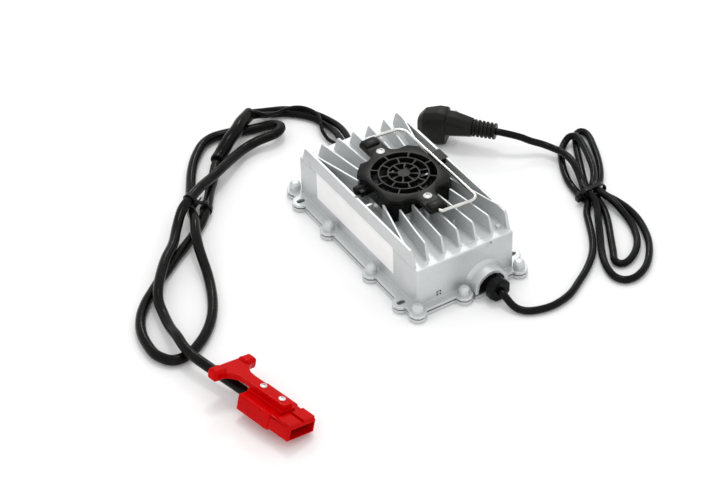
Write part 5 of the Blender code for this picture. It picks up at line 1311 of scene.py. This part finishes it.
class Plug:
    """The angled mains plug: a faceted head, a neck that leaves it at its upper half, and a ribbed relief."""

    HEAD = (
        (-20 * MM, 5 * MM, 17 * MM, 8 * MM, 27.5 * MM, 3 * MM),
        (-14 * MM, 1.5 * MM, 22 * MM, 2.5 * MM, 34.5 * MM, 5 * MM),
        (0, 0, 23.5 * MM, 0, 38.6 * MM, 5 * MM),
        (9 * MM, 0.5 * MM, 23.3 * MM, 2 * MM, 38.8 * MM, 5 * MM),
    )
    NECK = (
        (-6 * MM, 1.5 * MM, 21.5 * MM, 9 * MM, 36.5 * MM, 5 * MM),
        (16 * MM, 1 * MM, 21.5 * MM, 12.5 * MM, 36.6 * MM, 5.5 * MM),
        (35 * MM, 2 * MM, 20 * MM, 15 * MM, 33 * MM, 5.5 * MM),
    )
    RIBS = 6
    RELIEF_START = 34 * MM
    RELIEF_LENGTH = 24 * MM
    RELIEF_RADIUS = 8.7 * MM
    RELIEF_START_DEPTH = 3 * MM
    RIB_TAPER = 0.12 * MM
    GROOVE = 1.7 * MM
    RIB_EDGE = 0.4 * MM
    RIB_OUTLINE = (
        (0.1, GROOVE), (0.38, GROOVE), (0.46, RIB_EDGE), (0.56, 0.0), (0.84, 0.0), (0.96, RIB_EDGE),
    )

    def __init__(self, palette: Palette) -> None:
        self.palette = palette

    def build(self) -> list[object]:
        """Model the moulded body and dress the pins.

        Returns:
            The pieces that go with the mains lead.
        """
        body = self._hull("plug_moulding", self.HEAD)
        Bench.combine(body, self._hull("plug_neck", self.NECK), "UNION")
        Bench.rounded(body, 1.1 * MM, 3, 14.0)
        Bench.combine(body, self._relief(), "UNION")
        Bench.placed(body, PlugPose.matrix())
        Bench.settle(body, 28.0)
        self.palette.dress(body, PLUG_BLACK, Body.CHARGER)
        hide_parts("plug_body")
        self.palette.dress_nodes(("plug_pin_1", "plug_pin_2"), NICKEL)
        return [body, "plug_pin_1", "plug_pin_2"]

    def _hull(self, name: str, stations: Sequence[Sequence[float]]) -> bpy.types.Object:
        """Model the convex body through eight-sided sections.

        Args:
            name: Name of the piece.
            stations: Sections as (x, low y, high y, low z, high z, chamfer).
        """
        points = []
        for x, low_y, high_y, low_z, high_z, chamfer in stations:
            for y, inner_y in ((low_y, low_y + chamfer), (high_y, high_y - chamfer)):
                points += [(x, y, low_z + chamfer), (x, y, high_z - chamfer)]
                points += [(x, inner_y, low_z), (x, inner_y, high_z)]
        piece = Bench.from_points(name, points)
        Bench.edit(piece)
        bpy.ops.mesh.convex_hull()
        bpy.ops.mesh.select_all(action="SELECT")
        bpy.ops.mesh.dissolve_limited(angle_limit=math.radians(2))
        Bench.close()
        return piece

    def _relief(self) -> bpy.types.Object:
        """Model the ribbed relief, a turned profile along the neck."""
        step = self.RELIEF_LENGTH / self.RIBS
        root = -self.RELIEF_START_DEPTH
        profile = [(0, root), (self.RELIEF_RADIUS, root), (self.RELIEF_RADIUS, 0)]
        for rib in range(self.RIBS):
            foot = rib * step
            radius = self.RELIEF_RADIUS - self.RIB_TAPER * rib
            profile += [(radius - cut, foot + share * step) for share, cut in self.RIB_OUTLINE]
        profile += [(0, self.RELIEF_LENGTH)]
        relief = Bench.turned("plug_relief", profile, 32)
        axis = Matrix.Translation((self.RELIEF_START, PlugPose.AXIS_Y, PlugPose.AXIS_Z))
        return Bench.placed(relief, axis @ Matrix.Rotation(math.radians(90), 4, "Y"))


class Screws:
    """Screw heads with their driver recesses."""

    SHANK = 1.6 * MM
    SHANK_LENGTH = 8 * MM
    SHANK_TIP = 8.6 * MM
    RIM = 0.35
    RIM_DROP = 0.15 * MM
    RIM_INSET = 0.96

    @staticmethod
    def recess(name: str, span: float, depth: float, top: float) -> bpy.types.Object:
        """Model the cutter of a cross recess.

        Args:
            name: Name of the cutter.
            span: Width across the cross.
            depth: How deep it goes.
            top: Height of the head's top.
        """
        half, arm = span / 2, span / 7
        low, high = top - depth, top + depth
        cutter = Bench.block(name, (-half, -arm, low), (half, arm, high))
        cross = Bench.block(f"{name}_cross", (-arm, -half, low), (arm, half, high))
        Bench.combine(cutter, cross, "UNION")
        return cutter

    @staticmethod
    def pan_head(name: str, radius: float, height: float) -> bpy.types.Object:
        """Model a pan-head screw with its seat at zero.

        Args:
            name: Name of the piece.
            radius: Radius of the head.
            height: Height of the head.
        """
        profile = [(0, height)]
        for step in range(1, 7):
            angle = math.radians(15 * step)
            rise = Screws.RIM + (1 - Screws.RIM) * math.cos(angle)
            profile.append((radius * math.sin(angle), height * rise))
        shank = Screws.SHANK
        profile += [(radius, 0), (shank, 0), (shank, -Screws.SHANK_LENGTH), (0, -Screws.SHANK_TIP)]
        screw = Bench.turned(name, profile, 28)
        recess = Screws.recess(f"{name}_recess", radius * 1.15, height * 0.6, height)
        Bench.combine(screw, recess, "DIFFERENCE")
        return Bench.settle(screw)

    @staticmethod
    def countersunk(name: str, radius: float, depth: float, length: float) -> bpy.types.Object:
        """Model a countersunk screw with the top of its head at zero, pointing down.

        Args:
            name: Name of the piece.
            radius: Radius of the head.
            depth: Depth of the head.
            length: Whole length.
        """
        shank = Screws.SHANK
        profile = [(0, 0), (radius * Screws.RIM_INSET, 0), (radius, -Screws.RIM_DROP)]
        profile += [(shank, -depth), (shank, -length), (0, -length)]
        screw = Bench.turned(name, profile, 24)
        Bench.combine(screw, Screws.recess(f"{name}_recess", radius * 1.2, depth * 0.7, 0.0), "DIFFERENCE")
        return Bench.settle(screw)


class Housing:
    """The cast housing, the base plate and gasket, the label and the base screws."""

    LABEL_LOW = (-70 * MM, 19 * MM)
    LABEL_HIGH = (62 * MM, 49.3 * MM)
    WALL_Y = -52 * MM
    LABEL_THICKNESS = 0.18 * MM
    # Corners of the dark block that paints shade into the vent holes
    SHADE_BLOCK_LOW = Vector((97.2, -33, 9.4)) * MM
    SHADE_BLOCK_HIGH = Vector((98.15, -24.8, 17.2)) * MM
    VENT_Y = -28.9 * MM
    VENT_Z = 13.3 * MM
    VENT_SPREAD = 1.75 * MM
    BULGE = 3.4 * MM
    BULGE_RADIUS = 0.82 * MM
    SCREW_COUNT = 10

    def __init__(self, palette: Palette) -> None:
        self.palette = palette

    def build(self) -> None:
        """Model the castings and what is fixed on them."""
        shell = Bench.refined("housing", "housing_casting", 0.45 * MM, 2)
        self.palette.dress(shell, CAST, Body.CHARGER)
        base = Bench.refined("base_plate", "base_casting", 0.4 * MM, 2)
        self.palette.dress(base, CAST, Body.CHARGER)
        self.palette.dress_nodes(["base_gasket"], GASKET)
        self._label()
        self._vent_shade_block()
        self._base_screws()

    def _vent_shade_block(self) -> None:
        """Set a dark block behind the end wall as painted shade in the four vent holes; it bulges into them.
        """
        shade_block = Bench.block("vent_shade_block", self.SHADE_BLOCK_LOW, self.SHADE_BLOCK_HIGH)
        Bench.rounded(shade_block, 0.2 * MM)
        profile = [(0, 0), (self.BULGE_RADIUS, 0), (self.BULGE_RADIUS, self.BULGE), (0, self.BULGE)]
        for dy in (-self.VENT_SPREAD, self.VENT_SPREAD):
            for dz in (-self.VENT_SPREAD, self.VENT_SPREAD):
                place = Matrix.Translation((self.SHADE_BLOCK_LOW.x + 0.5 * MM, self.VENT_Y + dy, self.VENT_Z + dz))
                bulge = Bench.turned("vent_bulge", profile, 12)
                Bench.placed(bulge, place @ Matrix.Rotation(math.radians(90), 4, "Y"))
                Bench.combine(shade_block, bulge, "UNION")
        Bench.settle(shade_block)
        # black finish on the block is painted shade in the vent holes
        self.palette.dress(shade_block, GLAND_BLACK, Body.CHARGER)

    def _label(self) -> None:
        """Stick the bare label plate on the side wall."""
        label = Bench.block(
            "label_plate",
            (self.LABEL_LOW[0], self.WALL_Y - self.LABEL_THICKNESS, self.LABEL_LOW[1]),
            (self.LABEL_HIGH[0], self.WALL_Y - 0.02 * MM, self.LABEL_HIGH[1]),
        )
        Bench.rounded(label, 0.08 * MM, 1)
        Bench.settle(label)
        self.palette.dress(label, LABEL_WHITE, Body.CHARGER)

    def _base_screws(self) -> None:
        """Set a countersunk screw in place of each plain one."""
        model = Screws.countersunk("base_screw_model", 3.4 * MM, 2 * MM, 11 * MM)
        for number in range(1, self.SCREW_COUNT + 1):
            node = f"base_screw_{number}"
            low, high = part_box(node)
            place = Matrix.Translation(((low[0] + high[0]) / 2, (low[1] + high[1]) / 2, low[2]))
            copy = Bench.twin(model, f"{node}_recessed", place @ Matrix.Rotation(math.pi, 4, "X"))
            self.palette.dress(copy, ZINC, Body.CHARGER)
            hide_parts(node)
        bpy.data.objects.remove(model, do_unlink=True)


class Glands:
    """The cable glands at both ends."""

    GRIP = 11.8 * MM
    THROAT = 9.7 * MM
    SIDES = 8
    ROOT_SHARE = 0.3
    FLARE_SHARE = 0.43
    GRIP_SHARE = 0.92
    OUTER_EDGE = 0.9 * MM
    MOUTH_EDGE = 0.6 * MM
    MOUTH_EDGE_DEPTH = 0.8 * MM
    MOUTH_DEPTH = 2 * MM
    AXIS_Z = 11.2 * MM
    MOUTHS = (("mains_gland", 4.4 * MM, 1), ("charge_gland", 8.6 * MM, -1))

    def __init__(self, palette: Palette) -> None:
        self.palette = palette

    def build(self) -> None:
        """Model the nuts and round the gland bodies."""
        for name, mouth, side in self.MOUTHS:
            body = Bench.refined(f"{name}_body", f"{name}_insert", 0.4 * MM, 2)
            for piece in (body, self._nut(name, mouth, side)):
                self.palette.dress(piece, GLAND_BLACK, Body.CHARGER)

    def _nut(self, name: str, mouth: float, side: int) -> bpy.types.Object:
        """Model a clamping nut: a narrow root, eight gripping faces and a sunk mouth round the cords.

        Args:
            name: Start of the piece's name.
            mouth: Radius of the mouth.
            side: Side of the housing, 1 or -1.

        Returns:
            The piece.
        """
        low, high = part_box(f"{name}_nut")
        length = high[0] - low[0]
        grip, floor = self.GRIP, length - self.MOUTH_DEPTH
        profile = [
            (0, 0), (self.THROAT, 0), (self.THROAT, self.ROOT_SHARE * length),
            (grip, self.FLARE_SHARE * length), (grip, self.GRIP_SHARE * length),
            (grip - self.OUTER_EDGE, length), (mouth + self.MOUTH_EDGE, length),
            (mouth, length - self.MOUTH_EDGE_DEPTH), (mouth, floor), (0, floor),
        ]
        nut = Bench.turned(f"{name}_clamp", profile, self.SIDES)
        Bench.rounded(nut, 0.5 * MM, 2, 30.0)
        base = Matrix.Translation((low[0] if side > 0 else high[0], (low[1] + high[1]) / 2, self.AXIS_Z))
        along = Matrix.Rotation(math.radians(90 * side), 4, "Y")
        Bench.placed(nut, base @ along @ Matrix.Rotation(math.pi / self.SIDES, 4, "Z"))
        Bench.settle(nut, 30.0)
        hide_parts(f"{name}_nut")
        return nut


class FanUnit:
    """The fan frame, its rotor, its cover with the web grille, and the cover's screws."""

    SCREW_X = 39.7 * MM
    SCREW_SEAT = 70.46 * MM
    COVER_BOTTOM = 67.2 * MM
    COVER_TOP = 71.6 * MM
    HALF = 34 * MM
    CHAMFER = 8 * MM
    FILLET = 8 * MM
    TONGUE_REACH = 61 * MM
    TONGUE_LOW = -11 * MM
    TONGUE_HIGH = 8.5 * MM
    TONGUE_CORNER = 2.4 * MM
    RINGS = ((5.6 * MM, 13.8 * MM), (15.2 * MM, 22.5 * MM), (23.9 * MM, 30.7 * MM))
    SPOKES = 8
    SPOKE_WIDTH = 1.5 * MM
    SLOT_STEPS = 8
    SLOT_ROUNDING = 0.5 * MM
    SEAT_RADIUS = 4.7 * MM
    SEAT_MOUTH = 4.9 * MM
    SEAT_HEIGHT = 3 * MM
    SEAT_SINK = 0.3 * MM
    PIN_RUN_RADIUS = 2 * MM
    PIN_RUN_LENGTH = 12 * MM
    PIN_RUN_GAP = 0.6 * MM
    BARREL = (49.5 * MM, 60.5 * MM, -9 * MM, 6 * MM, 73.7 * MM)

    def __init__(self, palette: Palette) -> None:
        self.palette = palette

    def _outline(self) -> list[tuple[float, float]]:
        """Return the cover's outline: a chamfered square that narrows by concave fillets into two tongues."""
        half, fillet, corner = self.HALF, self.FILLET, self.TONGUE_CORNER
        near = half - self.CHAMFER
        right = [(near, -half), (half, -near)]
        arcs = (
            ((half + fillet, self.TONGUE_LOW - fillet), fillet, 180, 90, 8),
            ((self.TONGUE_REACH - corner, self.TONGUE_LOW + corner), corner, -90, 0, 5),
            ((self.TONGUE_REACH - corner, self.TONGUE_HIGH - corner), corner, 0, 90, 5),
            ((half + fillet, self.TONGUE_HIGH + fillet), fillet, 270, 180, 8),
        )
        for bend in arcs:
            right += arc(*bend)
        right += [(half, near), (near, half)]
        return right + [(-x, y) for x, y in reversed(right)]

    def _slot(self, ring: int) -> bpy.types.Object:
        """Model the cutter of one slot of a ring by spinning its section.

        Args:
            ring: Number of the ring, from the hub.
        """
        inner, outer = self.RINGS[ring]
        low, high = self.COVER_BOTTOM - 1 * MM, self.COVER_TOP + 1 * MM
        section = [(inner, 0, low), (outer, 0, low), (outer, 0, high), (inner, 0, high)]
        piece = Bench.from_points("slot", section, faces=[(0, 1, 2, 3)])
        share = math.tau / self.SPOKES - self.SPOKE_WIDTH / ((inner + outer) / 2)
        Bench.edit(piece)
        bpy.ops.mesh.spin(steps=self.SLOT_STEPS, angle=share, center=(0, 0, 0), axis=(0, 0, 1))
        Bench.close_outward()
        Bench.rounded(piece, self.SLOT_ROUNDING, 2, 60.0)
        return piece

    def _cover(self) -> bpy.types.Object:
        """Model the cover: rounded plate, barrels for the bail's pins, and the web of slots.

        Returns:
            The piece.
        """
        outline = self._outline()
        underside = [(x, y, self.COVER_BOTTOM) for x, y in outline]
        cover = Bench.from_points("fan_grille", underside, faces=[range(len(outline))])
        Bench.raise_outline(cover, self.COVER_TOP - self.COVER_BOTTOM)
        Bench.rounded(cover, 1.0 * MM, 3, 60.0)
        inner, outer, low_y, high_y, top = self.BARREL
        for side in (-1, 1):
            xs = sorted((side * inner, side * outer))
            barrel = Bench.block("barrel", (xs[0], low_y, self.COVER_TOP - 2 * MM), (xs[1], high_y, top))
            Bench.rounded(barrel, 1.3 * MM, 3)
            Bench.combine(cover, barrel, "UNION")
        step = math.tau / self.SPOKES
        for ring in range(len(self.RINGS)):
            slot = self._slot(ring)
            inner, outer = self.RINGS[ring]
            shift = self.SPOKE_WIDTH / (inner + outer) + (step / 2 if ring == 1 else 0)
            for spoke in range(self.SPOKES):
                cutter = Bench.twin(slot, "slot_cutter", Matrix.Rotation(shift + spoke * step, 4, "Z"))
                Bench.combine(cover, cutter, "DIFFERENCE")
            bpy.data.objects.remove(slot, do_unlink=True)
        radius, run, height = self.PIN_RUN_RADIUS, self.PIN_RUN_LENGTH, self.SEAT_HEIGHT
        start_x = Bail.LEG_X - Bail.RADIUS - Bail.PIN - self.PIN_RUN_GAP
        seat_profile = [(0, 0), (self.SEAT_RADIUS, 0), (self.SEAT_MOUTH, height), (0, height)]
        for side in (-1, 1):
            seat = Bench.turned("seat", seat_profile, 28)
            place = Matrix.Translation((side * self.SCREW_X, 0, self.SCREW_SEAT - self.SEAT_SINK))
            Bench.combine(cover, Bench.placed(seat, place), "DIFFERENCE")
            pin_run = Bench.turned("pin_run", [(0, 0), (radius, 0), (radius, run), (0, run)], 20)
            turn = Matrix.Rotation(math.radians(90 * side), 4, "Y")
            start = Matrix.Translation((side * start_x, Bail.PIVOT[1], Bail.PIVOT[2]))
            Bench.combine(cover, Bench.placed(pin_run, start @ turn), "DIFFERENCE")
        return Bench.settle(cover, 40.0)

    def build(self) -> None:
        """Model the fan."""
        fan_frame = Bench.refined("fan_frame", "fan_housing", 0.35 * MM, 2)
        self.palette.dress(fan_frame, FRAME_BLACK, Body.CHARGER)
        rotor = Bench.refined("fan_rotor", "fan_impeller", 0.3 * MM, 2)
        self.palette.dress(rotor, ROTOR_BLACK, Body.ROTOR)
        cover = self._cover()
        self.palette.dress(cover, COVER_BLACK, Body.CHARGER)
        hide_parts("fan_cover")
        screw = Screws.pan_head("cover_screw_model", 4.4 * MM, 2.4 * MM)
        for number, side in enumerate((-1, 1), 1):
            pose = Matrix.Translation((side * self.SCREW_X, 0, self.SCREW_SEAT))
            copy = Bench.twin(screw, f"cover_screw_{number}_head", pose)
            self.palette.dress(copy, ZINC, Body.CHARGER)
            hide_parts(f"cover_screw_{number}")
        bpy.data.objects.remove(screw, do_unlink=True)


class Bail:
    """The wire bail, at rest on the fins."""

    LEG_X = 63.8 * MM
    REACH = 41.3 * MM
    RADIUS = 1.7 * MM
    CORNER = 9 * MM
    BEND = 2.4 * MM
    PIN = 6 * MM
    PIVOT = (0.0, -1.5 * MM, 70 * MM)
    BAR_HEIGHT = 66.5 * MM
    PIN_SHORT = 1 * MM

    def __init__(self, palette: Palette) -> None:
        self.palette = palette

    def build(self) -> None:
        """Model the bent wire."""
        bend_x = self.LEG_X - self.BEND
        half = [(self.LEG_X - self.RADIUS - self.PIN, 0.0), (bend_x - self.PIN_SHORT, 0.0)]
        half += arc((bend_x, self.BEND), self.BEND, -90, 0, 6)
        half += arc((self.LEG_X - self.CORNER, self.REACH - self.CORNER), self.CORNER, 0, 90, 12)
        path = half + [(-x, y) for x, y in reversed(half)]
        wire = tube("bail_wire", [(x, y, 0) for x, y in path], self.RADIUS, 6)
        wire.location = self.PIVOT
        wire.rotation_euler = (-math.asin((self.PIVOT[2] - self.BAR_HEIGHT) / self.REACH), 0, 0)
        wire = as_mesh(wire)
        self.palette.dress(wire, BAIL_STEEL, Body.BAIL)
        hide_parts("bail_handle")


class Interior:
    """The circuit board and what stands on it, which the closed housing hides."""

    FINISHES = (
        (("circuit_board",), LAMINATE),
        (("transformer_core",), FERRITE),
        (("transformer_winding", "line_choke"), COPPER),
        (("bulk_capacitor_1", "bulk_capacitor_2"), CAN_BLACK),
        (("output_capacitor_1", "output_capacitor_2"), CAN_SLEEVE),
        (("output_rectifier", "power_transistor_1", "power_transistor_2"), CAN_BLACK),
        (("clamp_bar", "board_screw_1", "board_screw_2", "board_screw_3", "board_screw_4"), ZINC),
        (("fuse",), CERAMIC),
    )

    def __init__(self, palette: Palette) -> None:
        self.palette = palette

    def build(self) -> None:
        """Dress the solids inside."""
        for names, finish in self.FINISHES:
            self.palette.dress_nodes(names, finish)


def main() -> None:
    """Build the camera, the cords and then every other sub-assembly."""
    logging.basicConfig(level=logging.INFO, format="%(name)s: %(message)s")
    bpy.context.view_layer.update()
    CameraRig().build()
    palette = Palette()
    ChargingLead(palette).build(Connector(palette).build())
    MainsLead(palette).build(Plug(palette).build())
    for part in (Housing, Glands, FanUnit, Bail, Interior):
        LOG.info("building %s", part.__name__)
        part(palette).build()
    Studio().build()


if __name__ == "__main__":
    main()
